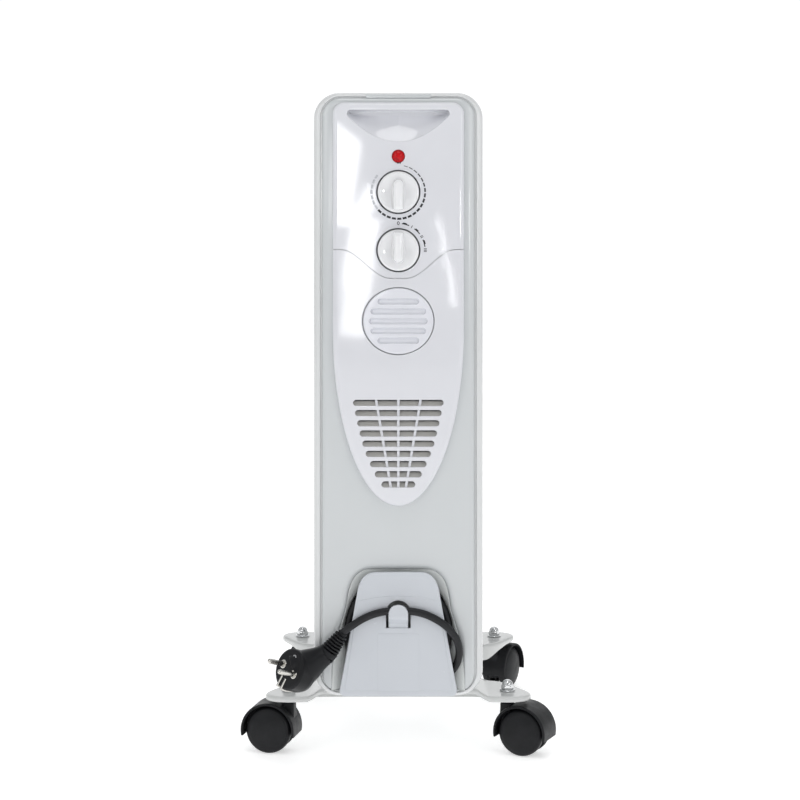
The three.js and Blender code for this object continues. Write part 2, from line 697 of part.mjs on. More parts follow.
function plug() {
  const { centre, neck, radius, halfDepth } = PLUG;
  const pins = new THREE.Vector3(...PLUG.pins).normalize();
  const row = new THREE.Vector3(...PLUG.pinRow);
  row.addScaledVector(pins, -row.dot(pins)).normalize();
  const profile = [
    [0, halfDepth], [radius, halfDepth], [radius, -4],
    [radius - 2.5, -9], [radius - 8, -halfDepth], [0, -halfDepth],
  ];
  const puck = turned(profile, 32);
  const pinPair = [-9.5, 9.5].map((x) => rod([x, 0, halfDepth - 1], [x, 0, halfDepth + 19], 2.4, 12));
  const body = join(puck, ...pinPair);
  const basis = new THREE.Matrix4().makeBasis(row, new THREE.Vector3().crossVectors(pins, row), pins);
  body.applyMatrix4(basis.setPosition(...centre));
  return join(body, rod(lerpPoint(centre, neck, 0.2), neck, 12, 20, 9));
}

function plugBoot() {
  const end = CORD_ROUTE[CORD_ROUTE.length - 1];
  return rod(lerpPoint(PLUG.neck, end, 0.14), lerpPoint(PLUG.neck, end, 0.94), 8.4, 16, 4.8);
}

// Assembly

for (let i = 0; i < FIN.count; i++) add(`fin_${i + 1}`, fin(i), paint);
add('heating_element', heatingElement(), steel);
add('oil_filler_plug', fillerPlug(), brass);
add('heat_shield', heatShield(), steel);
add('thermal_cutout', rod([34, 61, 190], [34, 69.6, 190], 9, 16), blackPlastic);
add('terminal_block', terminalBlock(), whitePlastic);

add('casing', casing(), paint);
add('front_cover', frontCover(), paint);
add('upper_panel', upperPanel(), whitePlastic);
add('lower_panel', lowerPanel(), whitePlastic);
add('round_grille', roundGrille(), whitePlastic);
add('lamp_lens', lampLens(), redLens);
add('neon_lamp', neonLamp(), clearGlass);
add('thermostat_knob', knob(KNOB.thermostatZ), whitePlastic);
add('thermostat_shaft', shaft(KNOB.thermostatZ), steel);
add('thermostat_body', switchBody(KNOB.thermostatZ, 17, 14), blackPlastic);
add('selector_knob', knob(KNOB.selectorZ), whitePlastic);
add('selector_shaft', shaft(KNOB.selectorZ), steel);
add('selector_switch', switchBody(KNOB.selectorZ, 15, 15), whitePlastic);

add('cord_pocket', cordPocket(), whitePlastic);
add('storage_cover', storageCover(), whitePlastic);
add('cord_gland', cordGland(), blackPlastic);
add('cord_coil', cordCoil(), blackPlastic);
add('cord_lead', cordLead(), blackPlastic);
add('plug', plug(), blackPlastic);
add('plug_boot', plugBoot(), blackPlastic);

for (const name of ['front', 'rear']) {
  const boltY = U_BOLT[name];
  add(`${name}_bracket`, bracket(STEM[name], boltY), bracketPaint);
  add(`${name}_u_bolt`, uBolt(boltY), steel);
  for (const [label, side] of [['left', -1], ['right', 1]]) {
    add(`wing_nut_${name}_${label}`, wingNut(side * (COLLAR.radius + 0.4 + U_BOLT.rod), boltY), steel);
  }
}
for (const place of CASTERS) caster(place);

export default heater;
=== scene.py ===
"""Looks of an oil filled radiator heater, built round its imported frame.

Outlines are drawn in millimetres: x to the right, z up from the floor, and y measured back from the front
plane of the control casing. place() turns such a point into the row frame, in metres.
"""
import json
import math

import bmesh
import bpy
from mathutils import Matrix, Quaternion, Vector


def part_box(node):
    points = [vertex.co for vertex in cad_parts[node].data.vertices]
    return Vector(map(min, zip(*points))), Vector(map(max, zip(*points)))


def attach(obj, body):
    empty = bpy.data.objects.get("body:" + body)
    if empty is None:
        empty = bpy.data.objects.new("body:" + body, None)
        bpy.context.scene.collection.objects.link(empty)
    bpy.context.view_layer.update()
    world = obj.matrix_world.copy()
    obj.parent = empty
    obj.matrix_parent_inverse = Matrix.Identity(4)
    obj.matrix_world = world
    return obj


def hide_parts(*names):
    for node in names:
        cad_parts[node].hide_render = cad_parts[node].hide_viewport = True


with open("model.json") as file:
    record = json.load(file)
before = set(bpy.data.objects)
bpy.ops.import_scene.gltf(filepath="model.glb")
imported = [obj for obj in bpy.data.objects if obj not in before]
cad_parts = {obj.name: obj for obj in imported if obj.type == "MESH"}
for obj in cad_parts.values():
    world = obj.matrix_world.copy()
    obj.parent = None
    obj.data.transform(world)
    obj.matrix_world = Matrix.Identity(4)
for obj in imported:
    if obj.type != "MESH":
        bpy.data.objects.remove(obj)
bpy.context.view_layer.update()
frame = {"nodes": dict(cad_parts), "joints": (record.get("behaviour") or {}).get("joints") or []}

MM = 0.001
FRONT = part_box("casing")[0].y
CORNERS = ("front_left", "front_right", "rear_left", "rear_right")
JOINTS = {joint["name"]: joint for joint in frame["joints"]}


def extent(node):
    """Lowest and highest corner of a CAD node in the outlines' millimetres."""
    low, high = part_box(node)
    shift = Vector((0, FRONT, 0))
    return (low - shift) / MM, (high - shift) / MM


def middle(node):
    low, high = extent(node)
    return (low + high) / 2


def place(x, y, z):
    return Vector((x * MM, FRONT + y * MM, z * MM))


CASING = extent("casing")
COVER = extent("front_cover")
PANEL = extent("upper_panel")
PANEL_BOTTOM = extent("lower_panel")[0].z
HALF_WIDTH = CASING[1].x
COVER_HALF = COVER[1].x
PANEL_HALF = PANEL[1].x
PANEL_FACE = PANEL[0].y
COVER_FACE = COVER[0].y

CASING_CORNER = 24.5
COVER_CORNER = 18
COVER_BOTTOM = 74.7
COVER_RIM = 7
PANEL_CORNER = 11
PANEL_SHOULDER = 416
PANEL_BACK = -2.2
PRINT = {"sunk": PANEL_FACE + 0.02, "proud": PANEL_FACE - 0.04}
SEAM = {"side": 492, "dip": 27, "inner": 8, "outer": 54, "gap": 0.28}
HANDLE = {"top": 623.6, "end": 618.3, "bottom": 593.7, "half": 48, "depth": 13}
LAMP_Z = 579.7
KNOB_Z = {"thermostat": 546.1, "selector": 491.4}
KNOB_HOLE = 20.7
GRILLE = {"z": 424.7, "radius": 33.3, "height": 31.2, "slot": 5.7, "pitch": 9.2}
GRILLE_LENGTHS = (39, 52, 55, 52, 39)
LOUVRE = {"top": 347.8, "pitch": 9.59, "slot": 5.7}
LOUVRE_HALF_LENGTHS = (42.5, 40.6, 38.6, 36.3, 33.8, 30.6, 26.5, 22, 15.8)
ARCH_TOP = 189.8
STORAGE = {"front": -9.0, "back": -6.5, "top": 188.7}
CLIP = {"tongue": 9.2, "slot": 2.4, "foot": 136.2, "top": 160, "front": -18.9}
COIL = {"z": 131, "inner": 40.5, "outer": 47.5, "inner_layers": (19, 12, 5), "outer_layers": (12, 5)}
CORD_RADIUS = 3.5
GLAND_TIP = (-38.5, 19, 90.5)
CORD_ROUTE = (
    (29.5, 5, 83.6), (38, 4.6, 85.2), (46, 3.2, 89.4), (52.2, 0.8, 95.8), (56, -2.2, 103.5),
    (57.4, -5.4, 112), (56.6, -8, 120), (53.4, -10.4, 128.2), (48.3, -12.2, 135.3), (41.5, -13.2, 141.3),
    (34, -13.3, 146), (25.5, -13.3, 149.8), (16, -13.3, 152.2), (6, -13.3, 153.2), (-4, -13.3, 153.3),
    (-14, -13.3, 152.3), (-24, -13.3, 149.7), (-33.5, -13.5, 145.6), (-42, -13.8, 140.4),
    (-51.6, -14.5, 133.4),
)
PLUG = {
    "centre": (-94.3, -9, 95.8), "neck": (-66.2, -14, 113.9), "pins": (-0.7, -0.65, 0.3),
    "row": (0.55, -0.76, -0.35), "radius": 19.5, "half_depth": 12, "clip_side": -1,
}
BRACKET = {"foot": 59.3, "raised": 66.3, "rim": 5, "wall": 1.8}
WING = (
    (0, -22), (66, -22), (80, -24), (100, -27), (116, -26), (126, -20), (130, -10),
    (128, 0), (121, 12), (114, 26), (104, 40), (92, 46), (46, 47), (0, 47),
)
APRON = ((74, 42.3), (92, 42.3), (98, 43.2), (104, 46.8), (110, 50.4), (118, 53), (131, 54.3))
FIN = {"count": 7, "half": 75, "bottom": 76, "top": 632, "corner": 30, "sheet": 1.6, "half_pitch": 17.85}
CHAMBER = {"half": 34, "bottom": 96, "top": 612, "depth": 7.8}
COLLAR_Z = (128, 580)
COLLAR_RADIUS = 22
WHEEL = {"radius": 22.5, "trail": 18, "inner": 6.5, "outer": 17.5}
HOOD = {"outer": 27, "inner": 24.6, "half": 17, "top": 48.4}

# Each light: its name, where it is, what it looks at, its width and height in metres, and its power in watts
LIGHTS = (
    ("window", (-1.45, -1.6, 1.2), (0, -0.15, 0.45), 0.6, 1.3, 6),
    ("second_window", (1.45, -1.6, 1.2), (0, -0.15, 0.45), 0.6, 1.3, 6),
    ("top_softbox", (0.1, -0.9, 2.4), (0, 0, 0.3), 1.2, 1.0, 9),
    ("lamp", (0.95, -2.6, 0.56), (0, -0.18, 0.52), 0.14, 0.14, 2.5),
    ("front_softbox", (-0.7, -3.2, 1.9), (0, -0.15, 0.35), 1.0, 0.8, 4),
)
# Each pane: its name, its mirror image's x, z, width and height in millimetres, its tilt and its radiance
PANES = (
    ("pane_tip", -52.9, 597, 32, 16, -38, 8),
    ("pane_upper", -57.6, 555, 35, 79, -8.4, 8),
    ("pane_high", -30.5, 533, 17, 38, -26, 7),
    ("pane_middle", -33.5, 502, 27, 42, -11, 7),
    ("pane_low", -38, 470, 29, 30, -7, 7),
    ("pane_lower", -40.5, 434, 26, 48, -4, 6),
    ("pane_streak", 45.5, 481, 1.0, 84, 10.7, 30),
)
# How bright the world is from straight ahead, 0, round either side to straight behind the heater, 1
WORLD_LEVELS = (
    (0.0, 0.36), (0.13, 0.36), (0.2, 0.1), (0.3, 0.12), (0.37, 0.66), (0.52, 0.72), (0.6, 0.4), (0.75, 0.5),
    (0.86, 1.05), (1.0, 1.05),
)


# Camera, lights and floor

def add_object(name, data):
    made = bpy.data.objects.new(name, data)
    bpy.context.scene.collection.objects.link(made)
    return made


def make_camera():
    data = bpy.data.cameras.new("camera")
    data.lens = 82.4
    data.sensor_width = 36
    data.shift_x = 0.0021
    data.shift_y = -0.189
    camera = add_object("camera", data)
    camera.location = (0, FRONT - 1.73, 0.4927)
    camera.rotation_euler = (math.pi / 2, 0, 0)
    bpy.context.scene.camera = camera


def area_light(name, location, target, width, height, power, roll=0.0):
    """A soft panel that looks at a target; roll turns it in its own plane, in degrees."""
    data = bpy.data.lights.new(name, "AREA")
    data.shape = "RECTANGLE"
    data.size = width
    data.size_y = height
    data.energy = power
    light = add_object(name, data)
    light.location = location
    aim = Vector(target) - Vector(location)
    rolled = aim.to_track_quat("-Z", "Y") @ Quaternion((0, 0, 1), math.radians(roll))
    light.rotation_euler = rolled.to_euler()
    light.visible_camera = False


def mirrored_pane(name, x, z, width, height, tilt, radiance):
    """A window pane in front of the heater, placed by where the front panel shows its mirror image."""
    distance, reach, eye = 1.722, 2.4, 492.7
    scale = 1 + reach / distance
    spot = place(x * scale, PANEL_FACE - reach / MM, eye + (z - eye) * scale)
    size = (width * scale * MM, height * scale * MM)
    target = spot + Vector((0, 1, 0))
    area_light(name, spot, target, *size, radiance * size[0] * size[1] * math.pi, tilt)


def make_world():
    """White behind the heater, pale before it, with a dark stretch and a bright one on each side."""
    world = bpy.data.worlds.new("studio")
    world.use_nodes = True
    tree = world.node_tree
    where = tree.nodes.new("ShaderNodeTexCoord")
    parts = tree.nodes.new("ShaderNodeSeparateXYZ")
    tree.links.new(where.outputs["Generated"], parts.inputs[0])

    def compute(operation, first, second):
        node = tree.nodes.new("ShaderNodeMath")
        node.operation = operation
        for socket, value in zip(node.inputs, (first, second)):
            if isinstance(value, (int, float)):
                socket.default_value = value
            else:
                tree.links.new(value, socket)
        return node.outputs[0]

    side = compute("ABSOLUTE", parts.outputs["X"], 0)
    ahead = compute("MULTIPLY", parts.outputs["Y"], -1)
    turn = compute("DIVIDE", compute("ARCTAN2", side, ahead), math.pi)
    ramp = tree.nodes.new("ShaderNodeValToRGB")
    elements = ramp.color_ramp.elements
    elements[0].position, elements[1].position = WORLD_LEVELS[0][0], WORLD_LEVELS[-1][0]
    for position, _ in WORLD_LEVELS[1:-1]:
        elements.new(position)
    for element, (_, level) in zip(elements, WORLD_LEVELS):
        element.color = (level * 0.985, level * 0.995, level, 1)
    tree.links.new(turn, ramp.inputs["Fac"])
    tree.links.new(ramp.outputs["Color"], tree.nodes["Background"].inputs["Color"])
    bpy.context.scene.world = world


def make_studio():
    make_world()
    bpy.context.scene.view_settings.view_transform = "Standard"
    for light in LIGHTS:
        area_light(*light)
    for pane in PANES:
        mirrored_pane(*pane)
    floor = bpy.data.meshes.new("floor")
    reach = 6
    floor.from_pydata([(-reach, -reach, 0), (reach, -reach, 0), (reach, reach, 0), (-reach, reach, 0)], [],
                      [(0, 1, 2, 3)])
    floor.materials.append(floor_paint())
    add_object("floor", floor)


# Materials

class Nodes:
    """A material's node tree, with short calls for the few nodes that are used here."""

    def __init__(self, name):
        self.material = bpy.data.materials.new(name)
        self.material.use_nodes = True
        self.tree = self.material.node_tree
        self.shader = self.tree.nodes["Principled BSDF"]

    def set(self, **sockets):
        for key, value in sockets.items():
            self.shader.inputs[key.replace("_", " ")].default_value = value

    def node(self, kind, **values):
        made = self.tree.nodes.new(kind)
        for key, value in values.items():
            made.inputs[key.replace("_", " ")].default_value = value
        return made

    def link(self, source, target):
        self.tree.links.new(source, target)

    def noise(self, scale, detail=3.0, roughness=0.55, stretch=(1, 1, 1)):
        where = self.node("ShaderNodeTexCoord")
        mapping = self.node("ShaderNodeMapping", Scale=stretch)
        self.link(where.outputs["Object"], mapping.inputs["Vector"])
        made = self.node("ShaderNodeTexNoise", Scale=scale, Detail=detail, Roughness=roughness)
        self.link(mapping.outputs["Vector"], made.inputs["Vector"])
        return made.outputs["Fac"]

    def ramp(self, fac, low, high, start=0.3, end=0.7):
        made = self.tree.nodes.new("ShaderNodeValToRGB")
        first, last = made.color_ramp.elements
        first.position, last.position = start, end
        first.color, last.color = (*low, 1), (*high, 1)
        self.link(fac, made.inputs["Fac"])
        return made.outputs["Color"]

    def colour(self, fac, low, high, start=0.3, end=0.7):
        self.link(self.ramp(fac, low, high, start, end), self.shader.inputs["Base Color"])

    def roughness(self, fac, low, high):
        self.link(self.ramp(fac, (low, low, low), (high, high, high)), self.shader.inputs["Roughness"])

    def bump(self, *layers):
        """Each layer is a height, its depth in metres and its strength; they are stacked."""
        last = None
        for fac, depth, strength in layers:
            made = self.node("ShaderNodeBump", Strength=strength, Distance=depth)
            self.link(fac, made.inputs["Height"])
            if last is not None:
                self.link(last.outputs["Normal"], made.inputs["Normal"])
            last = made
        self.link(last.outputs["Normal"], self.shader.inputs["Normal"])


def shade(colour, factor):
    return tuple(min(1.0, channel * factor) for channel in colour)


def enamel(name, colour, gloss, peel=0.00006):
    """Baked paint on sheet metal: faint mottling, a fine orange peel and duller patches."""
    nodes = Nodes(name)
    nodes.set(Specular_IOR_Level=0.5, Coat_Weight=0.35, Coat_Roughness=0.06)
    nodes.colour(nodes.noise(9, 4), shade(colour, 0.985), shade(colour, 1.015))
    nodes.roughness(nodes.noise(35, 5), gloss * 0.92, gloss * 1.15)
    nodes.bump((nodes.noise(420, 2), peel, 0.35), (nodes.noise(30, 2), peel * 2, 0.12))
    return nodes.material


def moulded(name, colour, gloss, grain, coat=0.0):
    """Moulded plastic: near even colour, fine surface grain and a slow sink of the wall."""
    nodes = Nodes(name)
    nodes.set(Specular_IOR_Level=0.5, Coat_Weight=coat, Coat_Roughness=0.04)
    nodes.colour(nodes.noise(14, 3), shade(colour, 0.98), shade(colour, 1.02))
    nodes.roughness(nodes.noise(60, 4), gloss * 0.85, gloss * 1.25)
    nodes.bump((nodes.noise(900, 2), grain, 0.5), (nodes.noise(18, 1), grain * 6, 0.12))
    return nodes.material


def black_grain(name, colour, gloss, grain=0.00012):
    """Spark-eroded black plastic: a pebbled grain with paler scuffs."""
    nodes = Nodes(name)
    nodes.set(Specular_IOR_Level=0.22)
    nodes.colour(nodes.noise(45, 6, 0.65), shade(colour, 0.85), shade(colour, 1.5), 0.35, 0.8)
    nodes.roughness(nodes.noise(80, 5), gloss * 0.8, gloss * 1.25)
    nodes.bump((nodes.noise(1400, 3), grain, 0.5))
    return nodes.material


def metal(name, colour, gloss, stretch=(1, 1, 1)):
    """Plated or drawn metal, its marks drawn out along an axis by stretch."""
    nodes = Nodes(name)
    nodes.set(Metallic=1.0)
    nodes.colour(nodes.noise(60, 4, 0.6, stretch), shade(colour, 0.9), shade(colour, 1.06))
    nodes.roughness(nodes.noise(160, 4, 0.6, stretch), gloss * 0.7, gloss * 1.5)
    nodes.bump((nodes.noise(700, 3, 0.6, stretch), 0.00002, 0.4))
    return nodes.material


def lamp_red():
    """Clear red moulding with the faceted prisms of a pilot lamp inside it."""
    nodes = Nodes("lamp_red")
    nodes.set(Specular_IOR_Level=0.15, Coat_Weight=0.08, Coat_Roughness=0.03)
    nodes.set(Emission_Color=(0.9, 0.02, 0.02, 1), Emission_Strength=0.06)
    where = nodes.node("ShaderNodeTexCoord")
    facets = nodes.node("ShaderNodeTexVoronoi", Scale=620.0)
    nodes.link(where.outputs["Object"], facets.inputs["Vector"])
    nodes.colour(facets.outputs["Distance"], (0.62, 0.008, 0.012), (0.3, 0.003, 0.006), 0.1, 0.75)
    nodes.roughness(nodes.noise(300), 0.03, 0.07)
    nodes.bump((facets.outputs["Distance"], 0.0004, 0.2))
    return nodes.material


def lamp_glass():
    nodes = Nodes("lamp_glass")
    nodes.set(Transmission_Weight=0.9, IOR=1.46)
    nodes.colour(nodes.noise(200), (0.95, 0.8, 0.68), (1.0, 0.9, 0.8))
    nodes.roughness(nodes.noise(300), 0.04, 0.1)
    return nodes.material


def printed_ink(name, colour):
    nodes = Nodes(name)
    nodes.colour(nodes.noise(900, 3), shade(colour, 0.9), shade(colour, 1.25))
    nodes.roughness(nodes.noise(500), 0.4, 0.6)
    return nodes.material


def floor_paint():
    nodes = Nodes("floor_paint")
    nodes.colour(nodes.noise(3), (0.93, 0.93, 0.93), (0.95, 0.95, 0.95))
    nodes.roughness(nodes.noise(8), 0.5, 0.6)
    nodes.set(Specular_IOR_Level=0.2, Emission_Color=(1, 1, 1, 1), Emission_Strength=0.5)
    return nodes.material


def cord_sheath():
    """PVC sheath: long drawn-out extrusion lines and a soft sheen."""
    nodes = Nodes("cord_sheath")
    nodes.set(Specular_IOR_Level=0.35)
    nodes.colour(nodes.noise(70, 5), (0.006, 0.0065, 0.008), (0.011, 0.0115, 0.014))
    nodes.roughness(nodes.noise(200, 4), 0.36, 0.5)
    nodes.bump((nodes.noise(600, 3), 0.00004, 0.5), (nodes.noise(90, 2), 0.0002, 0.2))
    return nodes.material


MATERIALS = {
    "cover_paint": enamel("cover_paint", (0.585, 0.608, 0.62), 0.16),
    "casing_paint": enamel("casing_paint", (0.685, 0.695, 0.70), 0.13),
    "fin_paint": enamel("fin_paint", (0.72, 0.735, 0.74), 0.26, 0.00004),
    "bracket_paint": enamel("bracket_paint", (0.62, 0.63, 0.625), 0.16, 0.00007),
    "panel_gloss": moulded("panel_gloss", (0.695, 0.702, 0.74), 0.04, 0.000004, 0.5),
    "knob_gloss": moulded("knob_gloss", (0.78, 0.785, 0.80), 0.1, 0.00001, 0.4),
    "grille_white": moulded("grille_white", (0.70, 0.708, 0.758), 0.14, 0.00001, 0.3),
    "storage_white": moulded("storage_white", (0.565, 0.59, 0.63), 0.22, 0.00002),
    "pocket_white": moulded("pocket_white", (0.70, 0.725, 0.72), 0.3, 0.00002),
    "inner_white": moulded("inner_white", (0.5, 0.49, 0.46), 0.5, 0.00005),
    "black_nylon": black_grain("black_nylon", (0.009, 0.0095, 0.011), 0.4),
    "bakelite": black_grain("bakelite", (0.03, 0.022, 0.02), 0.5),
    "plug_black": black_grain("plug_black", (0.006, 0.0065, 0.008), 0.34, 0.00008),
    "cord_sheath": cord_sheath(),
    "chrome": metal("chrome", (0.72, 0.73, 0.74), 0.09),
    "nickel": metal("nickel", (0.66, 0.645, 0.61), 0.2, (1, 1, 6)),
    "zinc": metal("zinc", (0.52, 0.53, 0.54), 0.34, (1, 1, 4)),
    "shield_steel": metal("shield_steel", (0.5, 0.51, 0.52), 0.35, (8, 1, 1)),
    "brass": metal("brass", (0.62, 0.44, 0.17), 0.22, (1, 6, 1)),
    "lamp_red": lamp_red(),
    "lamp_glass": lamp_glass(),
    "ink": printed_ink("ink", (0.016, 0.016, 0.02)),
    # pale grey ink for the dashes on the thermostat's left: a painted reflection, standing in for the
    # panel's window reflection washing the print out
    "reflection_washed_ink": printed_ink("reflection_washed_ink", (0.42, 0.43, 0.46)),
}


# Pieces and their modifiers

def add_piece(name, bm, material, body="heater", stands_for=(), sharp=40, weighted=True, face=None):
    """Turns a bmesh into a smooth-shaded piece that rides on a body. face is a direction that the outermost
    face along it looks in, which settles the normals of an open shell."""
    bmesh.ops.remove_doubles(bm, verts=bm.verts, dist=1e-6)
    bmesh.ops.recalc_face_normals(bm, faces=bm.faces)
    if face is not None:
        way = Vector(face)
        outermost = max(bm.faces, key=lambda f: (round(f.calc_center_median().dot(way), 6), f.calc_area()))
        if outermost.normal.dot(way) < 0:
            bmesh.ops.reverse_faces(bm, faces=bm.faces)
    limit = math.radians(sharp)
    for f in bm.faces:
        f.smooth = True
    for e in bm.edges:
        e.smooth = e.calc_face_angle(0) < limit
    mesh = bpy.data.meshes.new(name)
    bm.to_mesh(mesh)
    bm.free()
    piece = add_object(name, mesh)
    mesh.materials.append(MATERIALS[material])
    if weighted:
        modifier = piece.modifiers.new("weighted", "WEIGHTED_NORMAL")
        modifier.keep_sharp = True
    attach(piece, body)
    if stands_for:
        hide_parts(*stands_for)
    return piece


def first_modifier(piece, name, kind):
    """A new modifier that comes before the piece's others."""
    piece.modifiers.new(name, kind)
    piece.modifiers.move(len(piece.modifiers) - 1, 0)
    return piece.modifiers[name]


def thicken(piece, thickness):
    """Gives an open shell its wall, on the side away from its normals."""
    modifier = first_modifier(piece, "wall", "SOLIDIFY")
    modifier.thickness = thickness * MM
    modifier.offset = -1


def round_edges(piece, width, angle=40):
    modifier = first_modifier(piece, "rounded", "BEVEL")
    modifier.width = width * MM
    modifier.segments = 2
    modifier.limit_method = "ANGLE"
    modifier.angle_limit = math.radians(angle)


def bake_modifiers(piece):
    """Replaces the piece's mesh by what its modifiers make of it."""
    graph = bpy.context.evaluated_depsgraph_get()
    done = bpy.data.meshes.new_from_object(piece.evaluated_get(graph))
    piece.modifiers.clear()
    old = piece.data
    piece.data = done
    bpy.data.meshes.remove(old)


def carve(bm, cutter, operation="DIFFERENCE"):
    """bm less cutter, or their common part, as a new bmesh."""
    objects = []
    for index, part in enumerate((bm, cutter)):
        bmesh.ops.recalc_face_normals(part, faces=part.faces)
        mesh = bpy.data.meshes.new(f"carve_{index}")
        part.to_mesh(mesh)
        part.free()
        objects.append(add_object(f"carve_{index}", mesh))
    modifier = objects[0].modifiers.new("cut", "BOOLEAN")
    modifier.object = objects[1]
    modifier.operation = operation
    modifier.solver = "EXACT"
    bpy.context.view_layer.update()
    graph = bpy.context.evaluated_depsgraph_get()
    done = bmesh.new()
    result = objects[0].evaluated_get(graph)
    done.from_mesh(result.to_mesh())
    result.to_mesh_clear()
    for part in objects:
        mesh = part.data
        bpy.data.objects.remove(part)
        bpy.data.meshes.remove(mesh)
    return done


# Outlines

def arc(centre_x, centre_z, radius_x, radius_z, start, end, steps):
    """Points on an ellipse from one angle to another, in degrees."""
    points = []
    for i in range(steps + 1):
        angle = math.radians(start + (end - start) * i / steps)
        points.append((centre_x + radius_x * math.cos(angle), centre_z + radius_z * math.sin(angle)))
    return points


def oval(x, z, radius_x, radius_z, steps=96):
    return arc(x, z, radius_x, radius_z, 0, 360 - 360 / steps, steps - 1)


def circle(x, z, radius, steps=48):
    return oval(x, z, radius, radius, steps)


def rounded_rect(left, right, bottom, top, radius, steps):
    radius = max(radius, 0.05)
    points = []
    corners = ((right, bottom, -90), (right, top, 0), (left, top, 90), (left, bottom, 180))
    for x, z, start in corners:
        inner_x = x - radius if x == right else x + radius
        inner_z = z - radius if z == top else z + radius
        points += arc(inner_x, inner_z, radius, radius, start, start + 90, steps)
    return points


def bezier(controls, steps):
    """Points on a Bezier curve, from its first control point to its last."""
    degree = len(controls) - 1
    points = []
    for i in range(steps + 1):
        t = i / steps
        weights = [math.comb(degree, k) * t ** k * (1 - t) ** (degree - k) for k in range(degree + 1)]
        points.append(tuple(sum(w * c[axis] for w, c in zip(weights, controls)) for axis in (0, 1)))
    return points


def mirrored(points):
    """The points' mirror image in the heater's middle plane, in reverse order."""
    return [(-x, z) for x, z in reversed(points)]


def side_normals(points, closed=True):
    """Unit vectors that point to the left of a path at each of its points, mitred at the corners."""
    count = len(points)
    result = []
    for i, point in enumerate(points):
        before = points[i - 1] if i > 0 or closed else point
        after = points[(i + 1) % count] if i < count - 1 or closed else point
        ways = []
        for a, b in ((before, point), (point, after)):
            length = math.hypot(b[0] - a[0], b[1] - a[1])
            if length > 1e-9:
                ways.append(((a[1] - b[1]) / length, (b[0] - a[0]) / length))
        if len(ways) == 1:
            result.append(ways[0])
            continue
        bend = max(0.35, 1 + ways[0][0] * ways[1][0] + ways[0][1] * ways[1][1])
        result.append(((ways[0][0] + ways[1][0]) / bend, (ways[0][1] + ways[1][1]) / bend))
    return result


def inset(points, distance, closed=True):
    """An anticlockwise outline moved inwards; distance is one number, or one for each point."""
    normals = side_normals(points, closed)
    steps = distance if isinstance(distance, (list, tuple)) else [distance] * len(points)
    return [(x + nx * d, z + nz * d) for (x, z), (nx, nz), d in zip(points, normals, steps)]


def at_depth(points, y):
    return [place(x, y, z) for x, z in points]


def smoothstep(value, low, high):
    share = min(1.0, max(0.0, (value - low) / (high - low)))
    return share * share * (3 - 2 * share)


def edge_profile(width, depth, steps):
    """Quarter ellipse of a rounded edge: pairs of inset and depth, from the side to the face."""
    angles = [math.pi / 2 * i / steps for i in range(steps + 1)]
    return [(width * (1 - math.cos(angle)), depth * (1 - math.sin(angle))) for angle in angles]


def distances_along(path):
    """How far each point is from the nearer end of an open path."""
    run = [0.0]
    for a, b in zip(path, path[1:]):
        run.append(run[-1] + math.dist(a, b))
    return [min(s, run[-1] - s) for s in run]


# Surfaces

def local(matrix, x, y, z):
    """A point in millimetres in the frame of a matrix."""
    return matrix @ Vector((x * MM, y * MM, z * MM))


def axis_matrix(origin, direction, across=None):
    """A matrix at origin with its z along direction and its x along across, where that is given."""
    z = Vector(direction).normalized()
    if across is None:
        across = (1, 0, 0) if abs(z.x) < 0.9 else (0, 1, 0)
    hint = Vector(across)
    x = (hint - z * hint.dot(z)).normalized()
    y = z.cross(x)
    rotation = Matrix((x, y, z)).transposed().to_4x4()
    return Matrix.Translation(Vector(origin)) @ rotation


def facing(x, z, y=0.0):
    """A matrix on the front of the heater: local z comes out towards the viewer, local x to the right."""
    return axis_matrix(place(x, y, z), (0, -1, 0), (1, 0, 0))


def add_loop(bm, points):
    return [bm.verts.new(point) for point in points]


def bridge(bm, first, second, closed=True):
    count = len(first)
    for i in range(count if closed else count - 1):
        j = (i + 1) % count
        bm.faces.new((first[i], first[j], second[j], second[i]))


def bridge_all(bm, rows, closed=True):
    for first, second in zip(rows, rows[1:]):
        bridge(bm, first, second, closed)


def loft(bm, loops, closed=True):
    rows = [add_loop(bm, loop) for loop in loops]
    bridge_all(bm, rows, closed)
    return rows


def fill(bm, *loops):
    """A flat face between an outer loop of vertices and any holes in it."""
    edges = []
    for loop in loops:
        for i, vert in enumerate(loop):
            other = loop[(i + 1) % len(loop)]
            edges.append(bm.edges.get((vert, other)) or bm.edges.new((vert, other)))
    bmesh.ops.triangle_fill(bm, use_beauty=True, use_dissolve=False, edges=edges, normal=(0, 0, 0))


def cap(bm, loop):
    bm.faces.new(loop)


def closed_loft(bm, loops, close=cap):
    """A loft with both ends closed: by cap where they are convex, by fill where they aren't."""
    rows = loft(bm, loops)
    close(bm, rows[0])
    close(bm, rows[-1])


def slab(bm, outline, front, back, edge=0.0, steps=3):
    """A solid plate between two depths, its front edge rounded."""
    loops = [at_depth(outline, back), at_depth(outline, front)]
    if edge > 0:
        profile = edge_profile(edge, edge, steps)
        loops[1:] = [at_depth(inset(outline, width), front + depth) for width, depth in profile]
    closed_loft(bm, loops, fill)


def turned(bm, profile, matrix, segments):
    """A turned piece: pairs of radius and height along the local z of matrix."""
    angles = [2 * math.pi * i / segments for i in range(segments)]
    rows = []
    for radius, height in profile:
        around = angles if radius > 1e-6 else angles[:1]
        ring = [local(matrix, radius * math.cos(a), radius * math.sin(a), height) for a in around]
        rows.append(add_loop(bm, ring))
    for first, second in zip(rows, rows[1:]):
        if len(first) == len(second):
            if len(first) > 1:
                bridge(bm, first, second)
            continue
        tip, ring = (first[0], second) if len(first) == 1 else (second[0], first)
        for i in range(segments):
            bm.faces.new((tip, ring[i], ring[(i + 1) % segments]))


